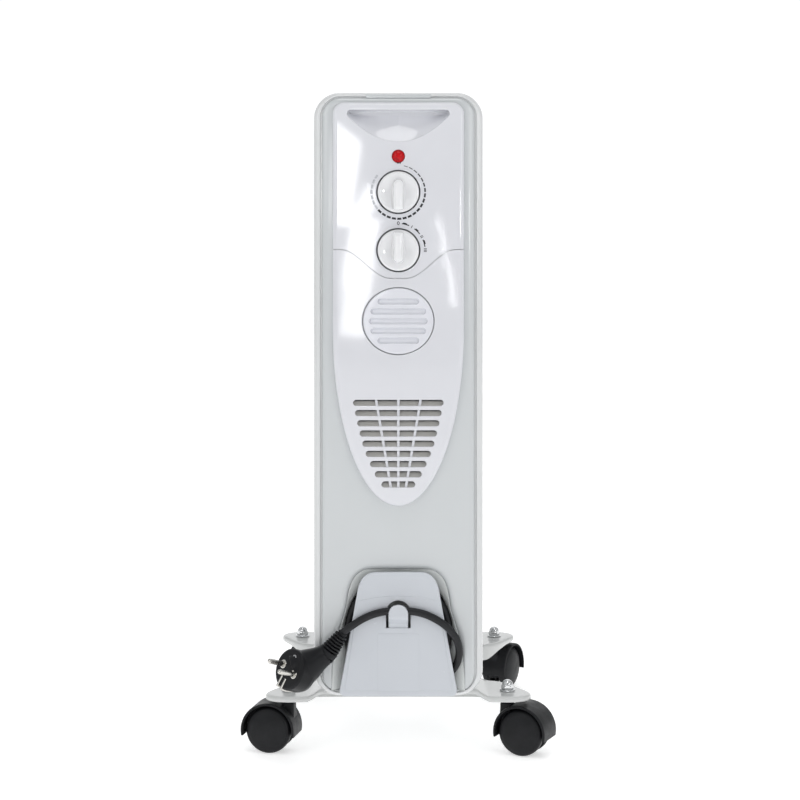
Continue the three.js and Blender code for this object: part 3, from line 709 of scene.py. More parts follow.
def hexagon(bm, matrix, radius, stack, turn=0):
    """A six-sided block along the local z of matrix: pairs of scale and height."""
    angles = [math.radians(60 * i + turn) for i in range(6)]
    loops = []
    for scale, height in stack:
        size = radius * scale
        loops.append([local(matrix, size * math.cos(a), size * math.sin(a), height) for a in angles])
    closed_loft(bm, loops)


def tube(bm, points, radius, segments):
    """A round closed tube along points in metres, with radius in millimetres, or one for each point."""
    radii = radius if isinstance(radius, (list, tuple)) else [radius] * len(points)
    rows = []
    side = None
    for i, point in enumerate(points):
        way = (points[min(i + 1, len(points) - 1)] - points[max(i - 1, 0)]).normalized()
        side = side or way.orthogonal().normalized()
        side = (side - way * side.dot(way)).normalized()
        other = way.cross(side)
        row = []
        for j in range(segments):
            angle = 2 * math.pi * j / segments
            offset = (side * math.cos(angle) + other * math.sin(angle)) * radii[i] * MM
            row.append(bm.verts.new(point + offset))
        rows.append(row)
    bridge_all(bm, rows)
    cap(bm, rows[0])
    cap(bm, rows[-1])


# Cords come first: the winding, the free end, the plug and its boot

def coil_points():
    """Three inner turns round the drum and two outer ones, which start and end at its lowest point."""
    turns = [(COIL["inner"], y) for y in COIL["inner_layers"]]
    turns += [(COIL["outer"], y) for y in COIL["outer_layers"]]
    per_turn = 60
    points = []
    for (radius, y), (next_radius, next_y) in zip(turns, turns[1:] + turns[-1:]):
        for i in range(per_turn):
            share = smoothstep(i / per_turn, 0.8, 1.0)
            r = radius + (next_radius - radius) * share
            depth = y + (next_y - y) * share
            angle = math.radians(-90 + 360 * i / per_turn)
            points.append(place(r * math.cos(angle), depth, COIL["z"] + r * math.sin(angle)))
    return points + [place(0, COIL["outer_layers"][-1], COIL["z"] - COIL["outer"])]


def smoothed(control):
    """Catmull-Rom curve through every control point but the first, which only sets how it starts."""
    steps = 4
    points = []
    for before, here, after, later in zip(control, control[1:], control[2:], control[3:] + control[-1:]):
        for step in range(steps):
            t = step / steps
            bend = 2 * before - 5 * here + 4 * after - later
            twist = 3 * here - before - 3 * after + later
            points.append(0.5 * (2 * here + (after - before) * t + bend * t * t + twist * t ** 3))
    return points + [control[-1]]


def cord_points():
    """The cord's line from its gland: a straight lead in, the winding, then the free end to the plug."""
    x, y, z = GLAND_TIP
    lead_in = 10
    points = [place(x * (1 - i / lead_in), y, z) for i in range(lead_in)] + coil_points()
    route = [place(*point) for point in ((2, 5, 83.5), (14, 5, 83.5), *CORD_ROUTE)]
    return points + smoothed(route + [route[-1].lerp(place(*PLUG["neck"]), 0.45)])


def make_cord(with_pieces):
    points = cord_points()
    curve = bpy.data.curves.new("power_cord", "CURVE")
    curve.dimensions = "3D"
    curve.bevel_depth = CORD_RADIUS * MM
    curve.bevel_resolution = 5
    curve.use_fill_caps = True
    spline = curve.splines.new("POLY")
    spline.points.add(len(points) - 1)
    for spot, point in zip(spline.points, points):
        spot.co = (*point, 1)
    spline.use_smooth = True
    cord = add_object("power_cord", curve)
    curve.materials.append(MATERIALS["cord_sheath"])
    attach(cord, "heater")
    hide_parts("cord_coil", "cord_lead")


def plug_matrix():
    """The plug's frame: z along its pins, x along their row."""
    return axis_matrix(place(*PLUG["centre"]), PLUG["pins"], Vector(PLUG["row"]))


def make_plug_body(matrix):
    """A round head and a tapered neck, melted together."""
    radius, half = PLUG["radius"], PLUG["half_depth"]
    bm = bmesh.new()
    turned(bm, [(0, half), (17.4, half), (18.6, half - 0.5), (radius, half - 1.6), (radius, -3),
                (radius - 1.2, -7), (radius - 4.5, -10.4), (radius - 9.5, -half), (0, -half)], matrix, 56)
    centre, neck = place(*PLUG["centre"]), place(*PLUG["neck"])
    steps = 12
    line = [centre.lerp(neck, 0.05 + 0.95 * i / steps) for i in range(steps + 1)]
    tube(bm, line, [17.3 - 7.7 * smoothstep(i / steps, 0, 1) for i in range(steps + 1)], 40)
    head = add_piece("plug_body", bm, "plug_black", stands_for=("plug",), weighted=False)
    melt = head.modifiers.new("melt", "REMESH")
    melt.mode = "VOXEL"
    melt.voxel_size = 0.55 * MM
    melt.use_smooth_shade = True
    soften = head.modifiers.new("soften", "SMOOTH")
    soften.factor = 0.5
    soften.iterations = 5
    bake_modifiers(head)
    return head


def make_plug_pins(matrix):
    half = PLUG["half_depth"]
    bm = bmesh.new()
    for x in (-9.5, 9.5):
        root = matrix @ Matrix.Translation((x * MM, 0, 0))
        turned(bm, [(0, half - 1), (2.4, half - 1), (2.4, half + 17), (2.1, half + 18.3), (1.1, half + 19),
                    (0, half + 19)], root, 24)
        turned(bm, [(2.5, half - 0.4), (4.1, half - 0.4), (4.1, half + 0.35), (3.7, half + 0.6),
                    (2.5, half + 0.6)], root, 24)
    return add_piece("plug_pins", bm, "nickel")


def make_earth_clip(matrix):
    """Two prongs on the plug's face that run down its side, and the plate between them."""
    radius, half, side = PLUG["radius"], PLUG["half_depth"], PLUG["clip_side"]
    bm = bmesh.new()
    for x in (-3.1, 3.1):
        line = [local(matrix, x, side * reach, half + 0.3) for reach in (8.5, 13, 17)]
        for i in range(9):
            bow = 0.9 * math.sin(math.pi * i / 8)
            line.append(local(matrix, x, side * (radius - 0.3 + bow), half + 0.6 - 15 * i / 8))
        tube(bm, line, 1.0, 10)
    outline = rounded_rect(-4.4, 4.4, half - 13, half - 0.6, 1.2, 4)
    faces = (radius + 0.05, radius - 1.15)
    closed_loft(bm, [[local(matrix, x, side * y, z) for x, z in outline] for y in faces])
    return add_piece("plug_earth_clips", bm, "nickel")


def make_earth_socket(matrix):
    half = PLUG["half_depth"]
    root = matrix @ Matrix.Translation((0, -12.5 * PLUG["clip_side"] * MM, 0))
    bm = bmesh.new()
    turned(bm, [(1.1, half - 0.2), (2.6, half - 0.2), (2.6, half + 0.3), (2.1, half + 0.5),
                (1.5, half + 0.4), (1.1, half - 0.2)], root, 24)
    return add_piece("plug_earth_socket", bm, "zinc")


def make_boot():
    """Ribbed strain relief between the plug and the cord."""
    neck, end = place(*PLUG["neck"]), place(*CORD_ROUTE[-1])
    length = (end - neck).length / MM
    ribs = 7
    start = 2.0
    pitch = (length - 1.5 - start) / ribs
    profile = [(0, -2), (8.6, -2)]
    for i in range(ribs):
        low = start + i * pitch
        rim = 9.2 - 3.2 * (i + 0.5) / ribs
        core = 4.7 - 0.6 * i / ribs
        profile += [(rim, low - 0.1), (rim + 0.15, low + 0.3), (rim, low + pitch * 0.4),
                    (rim - 0.5, low + pitch * 0.48), (core, low + pitch * 0.52), (core, low + pitch * 0.98)]
    profile += [(4.7, length - 1.2), (4.2, length), (0, length)]
    bm = bmesh.new()
    turned(bm, profile, axis_matrix(neck, end - neck), 36)
    return add_piece("plug_strain_relief", bm, "plug_black", stands_for=("plug_boot",),
                     sharp=50)


def make_gland():
    """Ribbed sleeve where the cord leaves the heater."""
    low, high = extent("cord_gland")
    centre = middle("cord_gland")
    length = high.x - low.x
    profile = [(0, 0), (5.5, 0), (5.6, 1.2)]
    for i in range(4):
        spot = 3 + i * 4.2
        ring, groove = 5.4 - 0.25 * i, 4.4 - 0.15 * i
        profile += [(ring, spot), (ring, spot + 2.4), (groove, spot + 2.8), (groove, spot + 4)]
    profile += [(4.1, length - 1), (3.8, length), (0, length)]
    bm = bmesh.new()
    turned(bm, profile, axis_matrix(place(low.x, centre.y, centre.z), (1, 0, 0)), 32)
    return add_piece("cord_strain_relief", bm, "plug_black", stands_for=("cord_gland",),
                     sharp=50)


# Control casing and its stamped front cover

def casing_outline(share):
    """share 0 is the casing's outside and 1 the edge of the front cover inside its lip."""
    side = HALF_WIDTH + (COVER_HALF - HALF_WIDTH) * share
    bottom = CASING[0].z + (COVER_BOTTOM - CASING[0].z) * share
    top = CASING[1].z + (COVER[1].z - CASING[1].z) * share
    corner = CASING_CORNER + (COVER_CORNER - CASING_CORNER) * share
    return rounded_rect(-side, side, bottom, top, corner, 16)


def make_casing():
    """Box open at the front, its lip rolled inwards round a shallow groove."""
    depth = CASING[1].y
    section = [(0.72, depth), (0.2, depth), (0.1, depth - 0.2), (0.02, depth - 0.9), (0, depth - 2),
               (0, depth * 0.5), (0, 9)]
    section += [(0.68 * width, y) for width, y in edge_profile(1, 7.0, 12)]
    section += [(0.74, 0.3), (0.78, 1.0), (0.79, 1.9), (0.82, 2.2), (1.02, 2.2), (1.02, 7)]
    bm = bmesh.new()
    loft(bm, [at_depth(casing_outline(share), y) for share, y in section])
    piece = add_piece("control_casing", bm, "casing_paint", stands_for=("casing",),
                      face=(0, 0, 1))
    thicken(piece, 1.0)


def pocket_arch(offset=0.0):
    """Edge of the cord pocket in the front cover, from its left foot over the top to the right foot."""
    steps = 14
    shoulder = (48.5, 160)
    rise = bezier(((62.9, 77.2), (63.4, 126), (51, 140), shoulder), steps)
    rise += bezier((shoulder, (45.5, ARCH_TOP), (26, ARCH_TOP)), steps)[1:]
    rise += [(18, ARCH_TOP), (9, ARCH_TOP)]
    path = mirrored(rise[::-1]) + [(0, ARCH_TOP)] + rise[::-1]
    return inset(path, offset, closed=False) if offset else path


def cover_path():
    """The front cover's outline from the pocket's right foot round the top to its left foot."""
    outline = casing_outline(1)
    foot = pocket_arch()[-1]
    start = min(range(len(outline) // 4), key=lambda i: math.dist(outline[i], foot))
    kept = [point for point in outline[start + 1:] if point[1] > foot[1] + 0.4]
    return [foot] + kept + [(-foot[0], foot[1])]


def louvre_window():
    """The front cover's opening behind the louvres."""
    right = [(20, 266), (44, 320), (47, 353)]
    return right + mirrored(right)


def make_front_cover():
    """Pressed sheet with a rounded rim, a rolled edge over the cord pocket and openings behind the panel."""
    path = cover_path()
    widths = [smoothstep(s, 0, 42) for s in distances_along(path)]
    loops = [at_depth(path, COVER[1].y - 1), at_depth(path, 2.6)]
    for width, depth in edge_profile(COVER_RIM, 3.6, 8)[1:]:
        moved = inset(path, [width * w for w in widths], closed=False)
        loops.append(at_depth(moved, COVER_FACE + depth))
    bm = bmesh.new()
    rim = loft(bm, loops, closed=False)

    arch = pocket_arch()
    soft = [smoothstep(s, 0, 55) for s in distances_along(arch)]
    roll, steps = 6.2, 8
    rows = []
    for i in range(steps + 1):
        angle = math.pi / 2 * i / steps
        moved = inset(arch, [roll * (1 - math.sin(angle)) * s for s in soft], closed=False)
        rows.append([place(x, COVER_FACE + (0.6 + 3.0 * s) * (1 - math.cos(angle)), z)
                     for (x, z), s in zip(moved, soft)])
    rows.append([place(x, COVER_FACE + 1.2 + 3.8 * s, z) for (x, z), s in zip(arch, soft)])
    pocket = loft(bm, rows, closed=False)
    windows = [inset(handle_outline(), -3), circle(0, LAMP_Z, 7), louvre_window()]
    windows += [circle(0, z, KNOB_HOLE + 1) for z in KNOB_Z.values()]
    holes = [add_loop(bm, at_depth(window, COVER_FACE)) for window in windows]
    fill(bm, rim[-1] + pocket[0][1:-1], *holes)
    piece = add_piece("stamped_front_cover", bm, "cover_paint",
                      stands_for=("front_cover",), sharp=50, face=(0, -1, 0))
    thicken(piece, 0.9)


def make_top_hook():
    """Flat hook of the front cover that grips the casing's upper edge."""
    bm = bmesh.new()
    slab(bm, rounded_rect(-31, 31, COVER[1].z - 0.4, COVER[1].z + 3.2, 1.2, 4), -0.9, 2, 0.7)
    add_piece("cover_top_hook", bm, "cover_paint")


# Glossy panel, split in two by a wavy seam

def panel_outline():
    half, top, corner = PANEL_HALF, PANEL[1].z, PANEL_CORNER
    points = arc(0, PANEL_SHOULDER, half, PANEL_SHOULDER - PANEL_BOTTOM, -180, 0, 80)
    points += [(half, z) for z in (450, 520, 590)]
    points += arc(half - corner, top - corner, corner, corner, 0, 90, 10)
    points += [(x, top) for x in (25, 0, -25)]
    points += arc(corner - half, top - corner, corner, corner, 90, 180, 10)
    return points + [(-half, z) for z in (590, 520, 450)]


def seam_z(x):
    return SEAM["side"] - SEAM["dip"] * (1 - smoothstep(abs(x), SEAM["inner"], SEAM["outer"]))


def handle_outline():
    """Half moon of the carrying grip: straight above with round corners, a parabola below."""
    top, end, bottom, half = (HANDLE[key] for key in ("top", "end", "bottom", "half"))
    steps = 40
    shares = [2 * i / steps - 1 for i in range(steps + 1)]
    points = [(half * share, bottom + (end - bottom) * share ** 2) for share in shares]
    corner = [(half + 0.4, end + 1.6), (half - 0.3, top - 1.3), (half - 1.9, top - 0.2)]
    straight = [((half - 5) * (1 - 2 * i / 20), top) for i in range(21)]
    return points + corner + straight + mirrored(corner)


def slot_outline(half_length, height, z):
    return rounded_rect(-half_length, half_length, z - height / 2, z + height / 2, height / 2, 8)


def hole_walls(bm, outline, rounding):
    """Rounded mouth and walls of a hole in the panel's face, inside a flat ring that keeps the face's gloss
    even. Returns its loops at the face and at the back."""
    flat = 0.5
    loops = [at_depth(inset(outline, -rounding - width), PANEL_FACE) for width in (flat, 0)]
    for i in range(1, 4):
        angle = math.pi / 2 * i / 3
        ring = inset(outline, -rounding * (1 - math.sin(angle)))
        loops.append(at_depth(ring, PANEL_FACE + rounding * (1 - math.cos(angle))))
    rows = loft(bm, loops + [at_depth(outline, PANEL_BACK)])
    return rows[0], rows[-1]


def whole_panel():
    """The raised panel before it is split, with every opening in its face."""
    bm = bmesh.new()
    outline = panel_outline()
    loops = [at_depth(outline, PANEL_BACK)]
    for width, depth in [*edge_profile(4.2, 5.0, 9), (4.8, 0)]:
        loops.append(at_depth(inset(outline, width), PANEL_FACE + depth))
    rows = loft(bm, loops)
    openings = [(handle_outline(), 0.8), (circle(0, LAMP_Z, 6.3, 40), 0.4)]
    openings += [(circle(0, z, KNOB_HOLE, 80), 0.5) for z in KNOB_Z.values()]
    openings.append((oval(0, GRILLE["z"], GRILLE["radius"] + 0.75, GRILLE["height"] + 0.75), 0.5))
    for row, half in enumerate(LOUVRE_HALF_LENGTHS):
        openings.append((slot_outline(half, LOUVRE["slot"], LOUVRE["top"] - row * LOUVRE["pitch"]), 0.45))
    walls = [hole_walls(bm, hole, rounding) for hole, rounding in openings]
    fill(bm, rows[-1], *[face for face, back in walls])
    fill(bm, rows[0], *[back for face, back in walls])
    return bm


def seam_cutter(upper):
    """Everything above the seam, or below it, as one block."""
    reach, steps = 80, 60
    offset = SEAM["gap"] if upper else -SEAM["gap"]
    line = [(x, seam_z(x) + offset) for x in [reach * (1 - 2 * i / steps) for i in range(steps + 1)]]
    far = 700 if upper else 200
    bm = bmesh.new()
    slab(bm, line + [(-reach, far), (reach, far)], PANEL_FACE - 6, PANEL_BACK + 6)
    return bm


def make_panels():
    upper = carve(whole_panel(), seam_cutter(True), "INTERSECT")
    lower = carve(whole_panel(), seam_cutter(False), "INTERSECT")
    scoop_into(upper)
    for name, bm in (("upper", upper), ("lower", lower)):
        add_piece(f"{name}_front_panel", bm, "panel_gloss",
                  stands_for=(f"{name}_panel",), sharp=34)


def scoop_into(bm):
    """Hand grip behind its opening: steep under the top edge, running out gently to the bottom."""
    outline = handle_outline()
    normals = side_normals(outline)
    spine_z = HANDLE["top"] - 4.5
    rings = 26
    loops = []
    for ring in range(rings + 1):
        share = (ring / rings) ** 1.5
        loop = []
        for (x, z), (nx, nz) in zip(outline, normals):
            centre_x = x * (0.55 + 0.25 * smoothstep(z, spine_z - 12, spine_z - 1))
            power = 0.95 + 9.9 * smoothstep(-nz, -0.25, 1.0) + 1.2 * abs(nx)
            y = PANEL_FACE + 0.8 + HANDLE["depth"] * (1 - (1 - share) ** power)
            loop.append(place(x + (centre_x - x) * share, y, z + (spine_z - z) * share))
        loops.append(loop)
    loft(bm, loops)


def make_louvre():
    """Three ribs that run down across the slots, and a slanted vane behind each slot."""
    ribs = bmesh.new()
    for side in (-1, 0, 1):
        outline = [(side * 21.2 - 1.25, 352), (side * 6.9 - 1.25, 267), (side * 6.9 + 1.25, 267),
                   (side * 21.2 + 1.25, 352)]
        slab(ribs, outline, PANEL_FACE + 1.7, PANEL_BACK, 0.4)
    add_piece("louvre_ribs", ribs, "panel_gloss")
    vanes = bmesh.new()
    near, far = PANEL_FACE + 2.0, PANEL_FACE + 6.2
    for row, half in enumerate(LOUVRE_HALF_LENGTHS):
        sill = LOUVRE["top"] - row * LOUVRE["pitch"] - LOUVRE["slot"] / 2
        section = [(near, sill - 0.3), (near, sill - 1.1), (far, sill + 3.2), (far, sill + 4.1)]
        closed_loft(vanes, [[place(x, y, z) for y, z in section] for x in (-half - 1, half + 1)])
    add_piece("louvre_vanes", vanes, "inner_white")


def make_grille():
    """Round grille with five shallow rounded windows in it."""
    face = PANEL_FACE - 0.3
    rim = oval(0, GRILLE["z"], GRILLE["radius"], GRILLE["height"])
    loops = [at_depth(rim, PANEL_BACK)]
    loops += [at_depth(inset(rim, width), face + depth) for width, depth in edge_profile(1.3, 1.3, 5)]
    bm = bmesh.new()
    rows = loft(bm, loops)
    fill(bm, rows[0])
    windows = []
    section = ((-0.4, 0), (-0.12, 0.1), (0, 0.4), (0.25, 1.9), (0.7, 2.2), (1.4, 1.9), (2.1, 1.7))
    for i, length in enumerate(GRILLE_LENGTHS):
        outline = slot_outline(length / 2, GRILLE["slot"], GRILLE["z"] + (2 - i) * GRILLE["pitch"])
        window = loft(bm, [at_depth(inset(outline, width), face + depth) for width, depth in section])
        fill(bm, window[-1])
        windows.append(window[0])
    fill(bm, rows[-1], *windows)
    add_piece("round_front_grille", bm, "grille_white", stands_for=("round_grille",),
              sharp=34)


# Lamp, knobs and printed marks

def make_lamp():
    bm = bmesh.new()
    turned(bm, [(0, 10.6), (1.6, 10.45), (3.2, 9.9), (4.6, 9.0), (5.3, 8.2), (5.5, 7.4), (6.0, 7.2),
                (6.0, 1), (3.8, 1), (3.8, 6.8), (0, 6.8)], facing(0, LAMP_Z), 48)
    add_piece("pilot_lamp_lens", bm, "lamp_red", stands_for=("lamp_lens",))


def bar_outline(half_width, reach, tail, way):
    """Outline of a knob's bar: one end follows the knob's edge, the other is round; way is 1 or -1."""
    corner = math.degrees(math.asin(half_width / reach))
    points = arc(0, 0, reach, reach, 90 - corner, 90 + corner, 8)
    points += [(-half_width, z) for z in (8, 0)]
    points += arc(0, half_width - tail, half_width, half_width, 180, 360, 14)
    points += [(half_width, z) for z in (0, 8)]
    return [(way * x, way * z) for x, z in points]


def knob_bar(bm, matrix, radius, face, tip, way):
    """Rounded bar to turn a knob by: its foot runs into the dish and its top edge is rounded."""
    half, reach, tail = 4.6, radius - 2.4, 11.5
    waist = face + 2.2
    # how far the side and the end lie inside the full outline, and at what height
    stack = [(-2.2, 0, face - 2.6), (-1.5, 0, face - 1.6), (-0.7, 0, face - 0.2), (-0.2, 0, waist)]
    edge = 2.2
    for i in range(9):
        angle = math.pi / 2 * i / 8
        shrink = 1 - math.cos(angle)
        stack.append((0.15 + 2.6 * shrink, 0.3 + 5.0 * shrink, tip - edge + edge * math.sin(angle)))
    loops = []
    for side_in, end_in, height in stack:
        outline = bar_outline(half - side_in, reach - end_in, tail - side_in, way)
        loops.append([local(matrix, x, y, height) for x, y in outline])
    closed_loft(bm, loops)


def make_knob(kind):
    """Round knob: a dished disc with a rounded bar across it to hold."""
    low, high = extent(f"{kind}_knob")
    radius = high.x
    matrix = facing(0, (low.z + high.z) / 2)
    face = 12.0
    profile = [(r, face - 2.6 + 2.6 * smoothstep(r, 3, 17.5)) for r in (0, 3, 5, 7, 9, 11, 13, 15)]
    profile += [(radius - 2.6, face), (radius - 1.6, face + 0.05), (radius - 0.7, face - 0.5),
                (radius - 0.1, face - 1.5), (radius, face - 3), (radius, 3), (radius - 1.6, 2.9),
                (radius - 1.6, 9.5), (5.5, 9.5), (5.5, 3), (3.2, 3), (3.2, 10.8), (0, 10.8)]
    bm = bmesh.new()
    turned(bm, profile, matrix, 96)
    knob_bar(bm, matrix, radius, face, -low.y - 0.6, -1 if kind == "thermostat" else 1)
    add_piece(f"{kind}_dial", bm, "knob_gloss", body=f"{kind}_dial",
              stands_for=(f"{kind}_knob",), sharp=38)


def printed(bm, outline):
    closed_loft(bm, [at_depth(outline, PRINT["sunk"]), at_depth(outline, PRINT["proud"])], fill)


def dash(bm, centre_z, radius, width, start, end):
    """One printed dash: an arc about a knob, its angles in degrees clockwise from the top."""
    radii = (radius - width / 2, radius + width / 2)
    inner, outer = (arc(0, centre_z, r, r, 90 - start, 90 - end, 6) for r in radii)
    printed(bm, outer[::-1] + inner)


def stroke(bm, x, z, turn, half_width, half_height):
    """One upright printed stroke, turned with its place on the dial."""
    cos, sin = math.cos(math.radians(turn)), math.sin(math.radians(turn))
    corners = ((-half_width, -half_height), (half_width, -half_height), (half_width, half_height),
               (-half_width, half_height))
    printed(bm, [(x + u * cos + v * sin, z - u * sin + v * cos) for u, v in corners])


def zero(bm, x, z):
    """A printed 0: a ring with a hollow middle."""
    ring = arc(x, z, 1.25, 1.7, 0, 345, 23)
    hollow = inset(ring, 0.62)
    rows = loft(bm, [at_depth(ring, PRINT["sunk"]), at_depth(ring, PRINT["proud"]),
                     at_depth(hollow, PRINT["proud"]), at_depth(hollow, PRINT["sunk"])])
    bridge(bm, rows[-1], rows[0])


def thermostat_marks(dark, faint):
    """A ring of dashes that grow wider clockwise, the last of them paler, and three strokes at its start.
    The paler ones are a painted reflection: their grey ink stands in for the panel's window reflection
    washing those dashes out.
    """
    z = KNOB_Z["thermostat"]
    dashes, sweep = 26, 300
    for i in range(dashes):
        start = 12 + sweep * i / dashes
        width = 0.6 + 1.4 * min(1.0, 3 * i / dashes)
        # dashes from 225 degrees on get the pale ink, a painted reflection of the window over them
        dash(dark if start < 225 else faint, z, 25.2, width, start, start + sweep / dashes * 0.76)
    for offset in (-1.3, 0, 1.3):
        stroke(dark, offset + 0.6, z + 27.4, 4, 0.36, 0.9)


def selector_marks(dark):
    """0, I, II and III at the four stops, with a tapered dash between each two."""
    z, radius = KNOB_Z["selector"], 25.4
    zero(dark, 0, z + radius)
    for count in (1, 2, 3):
        turn = 30 * count
        angle = math.radians(turn)
        x, height = radius * math.sin(angle), z + radius * math.cos(angle)
        for i in range(count):
            shift = (i - (count - 1) / 2) * 1.3
            stroke(dark, x + shift * math.cos(angle), height - shift * math.sin(angle), turn, 0.33, 1.4)
    for turn in (8, 37, 67):
        dash(dark, z, radius - 0.2, 1.0, turn, turn + 16)
        dash(dark, z, radius + 0.3, 1.5, turn + 2, turn + 10)


def make_marks():
    dark, faint = bmesh.new(), bmesh.new()
    thermostat_marks(dark, faint)
    selector_marks(dark)
    add_piece("dial_marks", dark, "ink", weighted=False)
    # the paler dashes carry the painted reflection of the window on the panel
    add_piece("dial_marks_reflection_washed", faint, "reflection_washed_ink", weighted=False)


# Cord storage: pocket, drum, cover and clip

def room_round_coil(x, z):
    """Free distance from a point of the pocket's edge to the wound cord."""
    return math.hypot(x, z - COIL["z"]) - COIL["outer"] - CORD_RADIUS - 1.3


def make_pocket():
    """Dish that the cord is wound in: its walls flare out round the winding."""
    low, high = extent("cord_pocket")
    bottom, back = low.z + 1.5, high.y - 4
    arch = pocket_arch(0.2)
    soft = [smoothstep(s, 0, 30) for s in distances_along(arch)]
    flare = [0.4 + min(12.0, max(0.0, room_round_coil(x, z))) for x, z in arch]
    section = ((0, 0), (0.12, 0.4), (0.4, 1.6), (0.75, 4.0), (0.92, 6.6), (1, 10), (1, 18), (1, back))
    loops = []
    for share, depth in section:
        wall = inset(arch, [-width * share for width in flare], closed=False)
        spots = [place(x, COVER_FACE + 1.4 + 2.9 * s + depth, z) for (x, z), s in zip(wall, soft)][::-1]
        feet = [Vector((spot.x, spot.y, bottom * MM)) for spot in (spots[0], spots[-1])]
        loops.append([feet[0], *spots, feet[1]])
    bm = bmesh.new()
    rows = loft(bm, loops)
    fill(bm, rows[-1])
    shell = add_piece("cord_pocket_shell", bm, "pocket_white",
                      stands_for=("cord_pocket",), face=(0, 1, 0), sharp=60)
    thicken(shell, 1.2)


def make_drum():
    bm = bmesh.new()
    turned(bm, [(33.5, -3.4), (34.2, -3), (35.6, -3.4), (36.4, -4.5), (36.4, -25.5), (33.5, -25.5),
                (33.5, -3.4)], facing(0, COIL["z"], -8.8), 72)
    add_piece("cord_drum", bm, "pocket_white")


def storage_outline():
    top = STORAGE["top"]
    right = [(50, 72), (52.6, 72.4), (54.3, 73.8), (55.1, 76), (54.9, 79)]
    right += [(55 - 16.1 * t, 78 + 90 * t) for t in (0.2, 0.4, 0.6, 0.8, 0.97)]
    right += bezier(((38.9, 168), (36, top), (21, top)), 12)
    return right + [(8, top + 0.2), (-8, top + 0.2)] + mirrored(right) + [(-20, 72), (20, 72)]


def clip_slot():
    """Block that cuts the slot round the clip out of the cover."""
    half, bottom, top = CLIP["tongue"] + CLIP["slot"], CLIP["foot"], CLIP["top"] + CLIP["slot"]
    outline = [(-half, bottom), (half, bottom)] + arc(0, top - half, half, half, 0, 180, 16)
    bm = bmesh.new()
    slab(bm, outline, STORAGE["front"] - 4, STORAGE["back"] + 4)
    return bm


def make_storage_cover():
    """Plate over the winding, with a raised apron, a strip below the clip and a stub that fits the drum."""
    front = STORAGE["front"]
    plate = bmesh.new()
    slab(plate, storage_outline(), front, STORAGE["back"], 1.1, 4)
    plate = carve(plate, clip_slot())

    side = [(51.4, 76.5), (38.9, 163)]
    shares = [1 - 2 * i / 24 for i in range(1, 24)]
    apron = side + [(39.4 * share, 167.2 - 5.2 * abs(share) ** 2.2) for share in shares] + mirrored(side)
    raised = bmesh.new()
    slab(raised, inset(apron, 0.9), front - 0.45, front + 0.4, 0.4, 3)
    raised = carve(raised, clip_slot())
    strip = bmesh.new()
    slab(strip, rounded_rect(-19.5, 19.5, 76.5, 131, 1.5, 4), front - 0.65, front, 0.2, 2)
    passing = bpy.data.meshes.new("passing")
    for part in (raised, strip):
        part.to_mesh(passing)
        part.free()
        plate.from_mesh(passing)
    bpy.data.meshes.remove(passing)
    turned(plate, [(0, -7), (9, -7), (9, 8), (7.4, 8), (7.4, -5), (0, -5)],
           axis_matrix(place(0, 0, COIL["z"]), (0, 1, 0)), 32)
    add_piece("cord_storage_cover", plate, "storage_white",
              stands_for=("storage_cover",), sharp=34)


def make_clip():
    """Tongue that springs out of the cover and holds the cord, with a round tip."""
    foot, top, front, width = (CLIP[key] for key in ("foot", "top", "front", "tongue"))
    face, straight = STORAGE["front"], foot + 13
    path = [(face + 0.2, foot - 1.5), (face + 0.1, foot + 2.5), (face - 0.9, foot + 4.6),
            (front + 1.4, foot + 9.3), (front + 0.2, foot + 11.2)]
    path += [(front, straight + (top - straight) * i / 10) for i in range(10)]
    path.append((front + 0.1, top))
    columns = 14
    bm = bmesh.new()
    rows = []
    for y, z in path:
        into_tip = max(0.0, z - top + width)
        half = math.sqrt(max(0.04, width ** 2 - into_tip ** 2))
        rows.append([bm.verts.new(place(half * (2 * i / columns - 1), y, z)) for i in range(columns + 1)])
    bridge_all(bm, rows, closed=False)
    clip = add_piece("cord_clip", bm, "storage_white", face=(0, -1, 0), sharp=60)
    thicken(clip, 1.8)
    round_edges(clip, 0.35, 60)


# Radiator

def fin_half_width(z):
    """Half the width of a fin at a height, with its round corners."""
    half, corner = FIN["half"], FIN["corner"]
    into = min(z - FIN["bottom"], FIN["top"] - z)
    if into < corner:
        return half - corner + math.sqrt(max(0.0, corner * corner - (corner - into) ** 2))
    return half


def chamber_height(x, z):
    """How far the pressed oil chamber stands out of the fin's sheet: broad ends and three flutes between."""
    half, bottom, top = CHAMBER["half"], CHAMBER["bottom"], CHAMBER["top"]
    round_z = min(max(z, bottom + half), top - half)
    bulge = smoothstep(half - math.hypot(x, z - round_z), 0, 7)
    lower, upper = COLLAR_Z
    run = smoothstep(z, lower + 34, lower + 56) * (1 - smoothstep(z, upper - 56, upper - 34))
    groove = 1 - smoothstep(abs(abs(x) - 11.2), 1.2, 5.6)
    return CHAMBER["depth"] * bulge * (1 - 0.72 * groove * run)


def fin_heights():
    """Heights at which a fin is sampled: close together at its ends, where outlines curve."""
    ends, rows, pitch = 26, 30, 3
    corner = [FIN["corner"] * (1 - math.cos(math.pi / 2 * i / ends)) for i in range(ends)]
    lower = [FIN["bottom"] + rise for rise in corner]
    lower += [FIN["bottom"] + FIN["corner"] + pitch * i for i in range(rows)]
    last = FIN["bottom"] + FIN["corner"] + pitch * rows
    upper = [FIN["bottom"] + FIN["top"] - height for height in lower[::-1]]
    steps = 24
    return lower + [last + (upper[0] - last) * i / steps for i in range(steps)] + upper


def fin_columns(half):
    """Where a fin is sampled across: close together at its folded edges."""
    chambers = 42
    right = [chambers * (i / 40) for i in range(41)]
    for share in (0.2, 0.42, 0.62, 0.78, 0.88, 0.94, 0.98, 1.0):
        right.append(chambers + (half - chambers) * share)
    return [-x for x in right[:0:-1]] + right


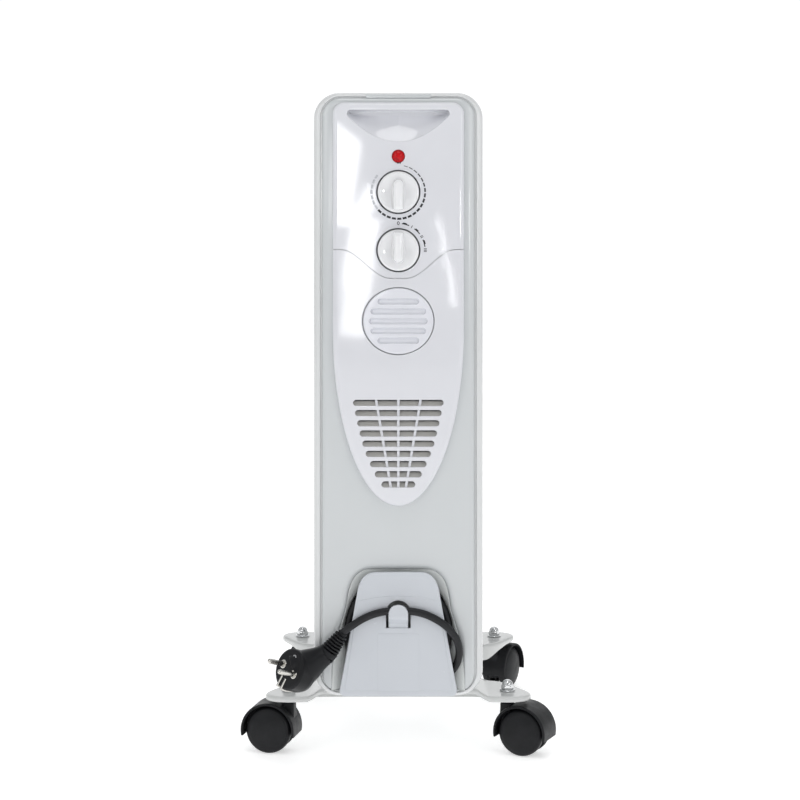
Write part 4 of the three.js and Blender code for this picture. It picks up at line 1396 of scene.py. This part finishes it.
def fin_sheet(bm, y0, side):
    """One of a fin's two pressed sheets, as rows of vertices."""
    flat = FIN["sheet"] / 2
    rows = []
    for z in fin_heights():
        half = fin_half_width(z)
        row = []
        for x in fin_columns(half):
            edge = min(half - abs(x), 3.0)
            hem = 0.55 * (1 - smoothstep(edge, 1.6, 2.8))
            tuck = (flat + 0.4) * (1 - math.sqrt(max(0.0, 1 - (1 - min(1.0, edge / 0.9)) ** 2)))
            out = flat + hem + chamber_height(x, z) - tuck
            row.append(bm.verts.new(place(x, y0 + side * max(0.15, out), z)))
        rows.append(row)
    bridge_all(bm, rows, closed=False)
    return rows


def rim_of(rows):
    """The vertices round the edge of a sheet."""
    inner = rows[1:-1]
    return rows[0] + [row[-1] for row in inner] + rows[-1][::-1] + [row[0] for row in reversed(inner)]


def weld_bead(radius, height):
    """Section of the welded ring between two collars."""
    bead = 0.9
    angles = [2 * math.pi * i / 10 for i in range(11)]
    return [(radius - 0.6 + bead * math.cos(a), height + 1.3 * bead * math.sin(a)) for a in angles]


def fin_collars(bm, index, y0):
    """The collars above and below, short behind on the last fin, each welded to the fin in front."""
    half, radius = FIN["half_pitch"], COLLAR_RADIUS
    last = index == FIN["count"]
    reach, shoulder, edge = (10.8, 10.4, 10.6) if last else (half, 12.5, half - 1.0)
    profile = [(0, 3 - half), (15, 3 - half), (15, -half), (21.0, -half), (radius, 1.0 - half),
               (radius, -12.5), (23.5, -10.2), (26.5, -8.7), (31, -7.2), (31, 7.2), (26.5, 8.7),
               (23.5, 10.2), (radius, shoulder), (radius, edge), (21.0, reach), (15, reach),
               (15, reach - 3), (0, reach - 3)]
    for z in COLLAR_Z:
        matrix = axis_matrix(place(0, y0, z), (0, 1, 0))
        turned(bm, profile, matrix, 64)
        if index > 1:
            turned(bm, weld_bead(radius, 0.4 - half), matrix, 64)


def fin_spot_welds(bm, y0):
    """A row of small dents beside the chamber on each side, front and back."""
    for side in (-1, 1):
        for z in range(CHAMBER["bottom"] + 24, CHAMBER["top"] - 20, 34):
            for face in (-1, 1):
                spot = place(side * (CHAMBER["half"] + 6.5), y0 + face * FIN["sheet"] / 2, z)
                turned(bm, [(2.6, -0.2), (2.6, 0.12), (2.0, 0.24), (1.3, 0.1), (0, 0.04)],
                       axis_matrix(spot, (0, face, 0)), 14)


def make_fin(index):
    """One fin: two sheets pressed into oil channels, folded side edges and a collar above and below."""
    node = f"fin_{index}"
    y0 = extent(node)[0].y + FIN["half_pitch"]
    bm = bmesh.new()
    front, back = [fin_sheet(bm, y0, side) for side in (-1, 1)]
    bridge(bm, rim_of(front), rim_of(back))
    fin_collars(bm, index, y0)
    fin_spot_welds(bm, y0)
    add_piece(f"radiator_{node}", bm, "fin_paint", stands_for=(node,), sharp=48)


def make_filler_plug():
    """Hexagonal plug with a washer and a short thread."""
    low, high = extent("oil_filler_plug")
    length = high.y - low.y
    matrix = axis_matrix(place(0, low.y, COLLAR_Z[1]), (0, 1, 0))
    bm = bmesh.new()
    thread = [(0, 0), (13, 0), (13.8, 0.8)]
    for i in range(5):
        thread += [(13.8, 1 + i * 1.4), (13.0, 1.7 + i * 1.4)]
    washer = [(13.4, 8.4), (17.6, 8.8), (18, 9.2), (18, 9.9), (17.4, 10.2), (0, 10.2)]
    turned(bm, thread + washer, matrix, 48)
    stack = ((0.98, 9.8), (1.0, 10.2), (1.0, length - 1.2), (0.93, length - 0.2), (0.9, length))
    hexagon(bm, matrix, 15.8, stack, 30)
    piece = add_piece("filler_plug", bm, "brass", stands_for=("oil_filler_plug",), sharp=35)
    round_edges(piece, 0.3, 35)


# Foot brackets with their U-bolts and nuts

def softened(points):
    """Chaikin's corner cutting, twice, on a closed outline."""
    for _ in range(2):
        cut = []
        for a, b in zip(points, points[1:] + points[:1]):
            for share in (0.75, 0.25):
                cut.append((a[0] * share + b[0] * (1 - share), a[1] * share + b[1] * (1 - share)))
        points = cut
    return points


def plate_height(x):
    """Top of the pressed bracket: low at the wheels, raised beside the casing."""
    return BRACKET["foot"] + (BRACKET["raised"] - BRACKET["foot"]) * (1 - smoothstep(abs(x), 73, 89))


def apron_edge(x, v):
    """Lower edge of the turned-down rim, which is deep on the side of the U-bolt."""
    level = plate_height(x) - BRACKET["rim"]
    deep = APRON[-1][1]
    for (near, low), (far, high) in zip(APRON, APRON[1:]):
        if abs(x) < far:
            deep = low + (high - low) * max(0.0, abs(x) - near) / (far - near)
            break
    return level + (min(level, deep) - level) * smoothstep(v, 0, 9)


def fill_top(bm, loop):
    """The bracket's sheet within its rim: filled at height 0, cut across where it rises, then lifted."""
    heights = {vert: vert.co.z for vert in loop}
    for vert in loop:
        vert.co.z = 0
    fill(bm, loop)
    for side in (-1, 1):
        for i in range(13):
            flat = [part for part in (*bm.faces, *bm.edges) if all(abs(v.co.z) < 1e-7 for v in part.verts)]
            flat += [vert for vert in bm.verts if abs(vert.co.z) < 1e-7]
            bmesh.ops.bisect_plane(bm, geom=flat, plane_no=(1, 0, 0),
                                   plane_co=(side * (72 + 1.5 * i) * MM, 0, 0))
    for vert in bm.verts:
        if abs(vert.co.z) < 1e-7:
            vert.co.z = heights.get(vert, plate_height(vert.co.x / MM) * MM)


def make_bracket(end):
    """Pressed sheet across the heater's foot, its edge turned down all round."""
    stem_y = middle(f"caster_stem_{end}_left").y
    towards = 1 if end == "front" else -1
    outline = softened(list(WING) + mirrored(WING[1:-1]))
    loops = []
    for width, drop in ((3.2, 0.0), (2.3, 0.12), (1.3, 0.5), (0.6, 1.1), (0.15, 1.9), (0.0, 3.0)):
        ring = inset(outline, width)
        loops.append([place(x, stem_y + towards * v, plate_height(x) - drop) for x, v in ring])
    loops.append([place(x, stem_y + towards * v, apron_edge(x, v)) for x, v in outline])
    bm = bmesh.new()
    rows = loft(bm, loops)
    fill_top(bm, rows[0])
    piece = add_piece(f"{end}_foot_bracket", bm, "bracket_paint",
                      stands_for=(f"{end}_bracket",), face=(0, 0, 1), sharp=50)
    thicken(piece, BRACKET["wall"])


def make_saddles(end):
    """Two upright strips under the fins, one on each side of the U-bolt."""
    stem_y, bolt_y = middle(f"caster_stem_{end}_left").y, middle(f"{end}_u_bolt").y
    towards = 1 if end == "front" else -1
    low, high = BRACKET["raised"] - 1.5, 75.2
    bm = bmesh.new()
    for y in (bolt_y - 18, bolt_y + 18):
        reach = 58 if abs((y - stem_y) * towards - 12) < 40 else 44
        outline = [(-reach, low), (reach, low), (reach - 2, high), (2 - reach, high)]
        slab(bm, outline, y - 1, y + 1)
    saddle = add_piece(f"{end}_saddles", bm, "bracket_paint")
    round_edges(saddle, 0.5)


def make_u_bolt(end):
    """Bent rod round the lower collar, with threads on its legs."""
    node = f"{end}_u_bolt"
    low, high = extent(node)
    y, reach = middle(node).y, high.x - 2.5
    steps = int((COLLAR_Z[0] - low.z) / 2)
    points = [place(-reach, y, low.z + i * 2) for i in range(steps)]
    points += at_depth(arc(0, COLLAR_Z[0], reach, reach, 180, 0, 40), y)
    points += [place(reach, y, COLLAR_Z[0] - 1 - i * 2) for i in range(steps)]
    bm = bmesh.new()
    tube(bm, points, 2.45, 16)
    for side in (-1, 1):
        for i in range(14):
            matrix = axis_matrix(place(side * reach, y, low.z + 1 + i * 1.2), (0, 0, 1))
            turned(bm, [(2.3, -0.45), (2.62, 0), (2.3, 0.45)], matrix, 16)
    add_piece(f"{end}_clamp_bolt", bm, "zinc", stands_for=(node,), sharp=60)


def make_wing_nut(end, side):
    node = f"wing_nut_{end}_{side}"
    centre = middle(node)
    matrix = axis_matrix(place(centre.x, centre.y, extent(node)[1].z), (0, 0, -1), (1, 0, 0))
    wing = [(4.5, 2.5), (8, 3.2), (12.4, 4.4), (14, 7.5), (13.4, 11), (11.2, 12.8), (8.6, 11.4), (6.4, 8),
            (4.5, 7.4)]
    bm = bmesh.new()
    turned(bm, [(3.0, 0), (6.2, 0), (6.4, 0.5), (5.6, 7), (5.0, 7.8), (3.0, 7.8), (3.0, 0)], matrix, 32)
    for way in (-1, 1):
        loops = []
        for across, shrink in ((-1.2, 0.5), (-0.8, 0), (0.8, 0), (1.2, 0.5)):
            loops.append([local(matrix, way * x, across, z) for x, z in inset(wing, shrink)])
        closed_loft(bm, loops)
    add_piece(f"{node}_forged", bm, "zinc", stands_for=(node,), sharp=40)


def make_dome_nut(corner):
    """Acorn nut on a serrated flange washer."""
    node = f"dome_nut_{corner}"
    centre = middle(node)
    matrix = axis_matrix(place(centre.x, centre.y, extent(node)[0].z), (0, 0, 1))
    teeth = 28
    washer = []
    for radius, height in ((7.4, 0), (7.6, 0.9), (7.3, 1.3), (6.2, 1.6)):
        loop = []
        for i in range(teeth * 2):
            reach = radius - 0.25 if i % 2 and radius > 7 else radius
            angle = math.pi * i / teeth
            loop.append(local(matrix, reach * math.cos(angle), reach * math.sin(angle), height))
        washer.append(loop)
    bm = bmesh.new()
    closed_loft(bm, washer)
    hexagon(bm, matrix, 6.1, ((0.94, 1.4), (1.0, 1.9), (1.0, 4.6), (0.93, 5.3)))
    dome = [(5.5 * math.cos(a), 5.4 + 5.5 * math.sin(a)) for a in [math.pi / 2 * i / 12 for i in range(12)]]
    turned(bm, [(0, 4.4), (5.5, 4.4), *dome, (0, 10.9)], matrix, 40)
    add_piece(f"{node}_acorn", bm, "chrome", stands_for=(node,), sharp=38)


# Casters

def caster_matrix(corner):
    """The caster's own frame: its origin on the floor under the stem, x towards the wheels."""
    swivel = Vector(JOINTS[f"swivel_{corner}"]["pos_m"])
    axle = Vector(JOINTS[f"spin_{corner}_a"]["pos_m"])
    return axis_matrix((swivel.x, swivel.y, 0), (0, 0, 1), (axle.x - swivel.x, axle.y - swivel.y, 0))


def axle_matrix(caster, side):
    """The wheels' axle: local z points to one side of the caster."""
    origin = local(caster, WHEEL["trail"], 0, WHEEL["radius"])
    return axis_matrix(origin, caster.to_3x3() @ Vector((0, side, 0)))


def swept_ring(bm, matrix, section, steps):
    """A closed section of (radius, across) carried over the wheels, round their axle."""
    start, end = -11.5, 191.5
    loops = []
    for i in range(steps + 1):
        angle = math.radians(start + (end - start) * i / steps)
        loop = []
        for radius, across in section:
            x, z = WHEEL["trail"] + radius * math.cos(angle), WHEEL["radius"] + radius * math.sin(angle)
            loop.append(local(matrix, x, across, z))
        loops.append(loop)
    closed_loft(bm, loops)


def make_hood(corner):
    """Fender over the two wheels, with its middle web, the axle and the socket of the stem."""
    matrix = caster_matrix(corner)
    outer, inner, half = HOOD["outer"], HOOD["inner"], HOOD["half"]
    bm = bmesh.new()
    side = [(inner, 0.3 - half), (inner + 0.3, -half), (outer - 1.4, -half), (outer - 0.4, 0.5 - half),
            (outer, 1.6 - half)]
    other_side = [(radius, -across) for radius, across in reversed(side)]
    swept_ring(bm, matrix, side + [(outer, 0)] + other_side + [(inner, 3.2), (inner, -3.2)], 64)
    swept_ring(bm, matrix, [(0.5, -2.5), (inner + 0.6, -2.5), (inner + 0.6, 2.5), (0.5, 2.5)], 40)
    turned(bm, [(0, -15), (2.6, -15), (2.8, -14.6), (2.8, -2.7), (6, -2.7), (6, 2.7), (2.8, 2.7),
                (2.8, 14.6), (2.6, 15), (0, 15)], axle_matrix(matrix, 1), 24)
    neck = ((7.6, 30, 1.5), (7.2, 36, 0.9), (6.3, 40.5, 0.3), (5.95, 43, 0), (5.9, 47.4, 0), (5.5, 48.2, 0),
            (4.9, HOOD["top"], 0))
    loops = []
    for size, rise, shift in neck:
        outline = rounded_rect(shift - size, shift + size, -size, size, 2.2, 5)
        loops.append([local(matrix, x, y, rise) for x, y in outline])
    closed_loft(bm, loops)
    socket = [(0, 14), (5.2, 14), (5.8, 15), (5.8, 34), (0, 34)]
    turned(bm, socket, axis_matrix(matrix.translation, (0, 0, 1)), 24)
    piece = add_piece(f"caster_fender_{corner}", bm, "black_nylon", body=f"caster_{corner}",
                      stands_for=(f"caster_hood_{corner}",), sharp=42)
    round_edges(piece, 0.35, 50)


def make_wheel(corner, label):
    """One wheel: a domed cap with a fine ring, a rolling rim, six spokes and its hub."""
    radius, inner, outer = WHEEL["radius"], WHEEL["inner"], WHEEL["outer"]
    hub = axle_matrix(caster_matrix(corner), 1 if label == "a" else -1)
    dome = [(share * 18.8, outer - 2.9 * share ** 2.2) for share in [i / 9 for i in range(9)]]
    dome += [(18.8, outer - 2.95), (19.1, outer - 3.35), (19.5, outer - 3.3), (20.6, outer - 3.9),
             (21.6, outer - 4.8), (22.2, outer - 5.9), (radius, outer - 7.2)]
    rim = [(radius, inner + 1.2), (radius - 0.4, inner + 0.3), (radius - 1.0, inner), (radius - 2.2, inner),
           (radius - 2.4, outer - 7.6), (12, outer - 4.6), (5.6, outer - 4.0), (5.6, 3), (3.1, 3),
           (3.1, outer - 2.2), (0, outer - 2.2)]
    bm = bmesh.new()
    turned(bm, dome + rim, hub, 72)
    low, high = inner + 1.5, outer - 4.2
    for i in range(6):
        turn = hub @ Matrix.Rotation(math.pi / 3 * i + 0.3, 4, "Z")
        section = ((-0.6, low), (0.6, low), (0.6, high), (-0.6, high))
        closed_loft(bm, [[local(turn, r, across, rise) for across, rise in section] for r in (5.0, 20.4)])
    name = f"wheel_{corner}_{label}"
    add_piece(name, bm, "black_nylon", body=name, stands_for=(f"caster_{name}",))


def make_stem(corner):
    """Stem with the collar that the bracket rests on."""
    node = f"caster_stem_{corner}"
    bottom, top, collar = extent(node)[0].z, extent(node)[1].z, 56.9
    centre = middle(node)
    bm = bmesh.new()
    turned(bm, [(0, bottom), (3.4, bottom), (4.0, bottom + 0.8), (4.0, 48.7), (5.6, 48.75), (6.2, 49.3),
                (6.2, collar - 0.7), (5.7, collar), (4.0, collar), (4.0, top - 0.8), (3.3, top), (0, top)],
           axis_matrix(place(centre.x, centre.y, 0), (0, 0, 1)), 32)
    add_piece(f"stem_{corner}", bm, "zinc", stands_for=(node,), sharp=38)


# CAD nodes that stay, with their finish

def finish_cad_nodes():
    kept = {
        "heating_element": "zinc", "heat_shield": "shield_steel", "thermal_cutout": "bakelite",
        "terminal_block": "inner_white", "neon_lamp": "lamp_glass", "thermostat_shaft": "zinc",
        "thermostat_body": "bakelite", "selector_shaft": "zinc", "selector_switch": "inner_white",
    }
    for node, material in kept.items():
        mesh = frame["nodes"][node].data
        mesh.materials.clear()
        mesh.materials.append(MATERIALS[material])


make_camera()
make_studio()
plug = plug_matrix()
plug_pieces = [make_plug_body(plug), make_plug_pins(plug), make_earth_clip(plug), make_earth_socket(plug)]
make_cord([*plug_pieces, make_boot(), make_gland()])

make_casing()
make_front_cover()
make_top_hook()
make_panels()
make_louvre()
make_grille()
make_lamp()
for kind in KNOB_Z:
    make_knob(kind)
make_marks()
make_pocket()
make_drum()
make_storage_cover()
make_clip()
for number in range(1, FIN["count"] + 1):
    make_fin(number)
make_filler_plug()
for end in ("front", "rear"):
    make_bracket(end)
    make_saddles(end)
    make_u_bolt(end)
    for side in ("left", "right"):
        make_wing_nut(end, side)
for corner in CORNERS:
    make_dome_nut(corner)
    make_stem(corner)
    make_hood(corner)
    for label in "ab":
        make_wheel(corner, label)
finish_cad_nodes()
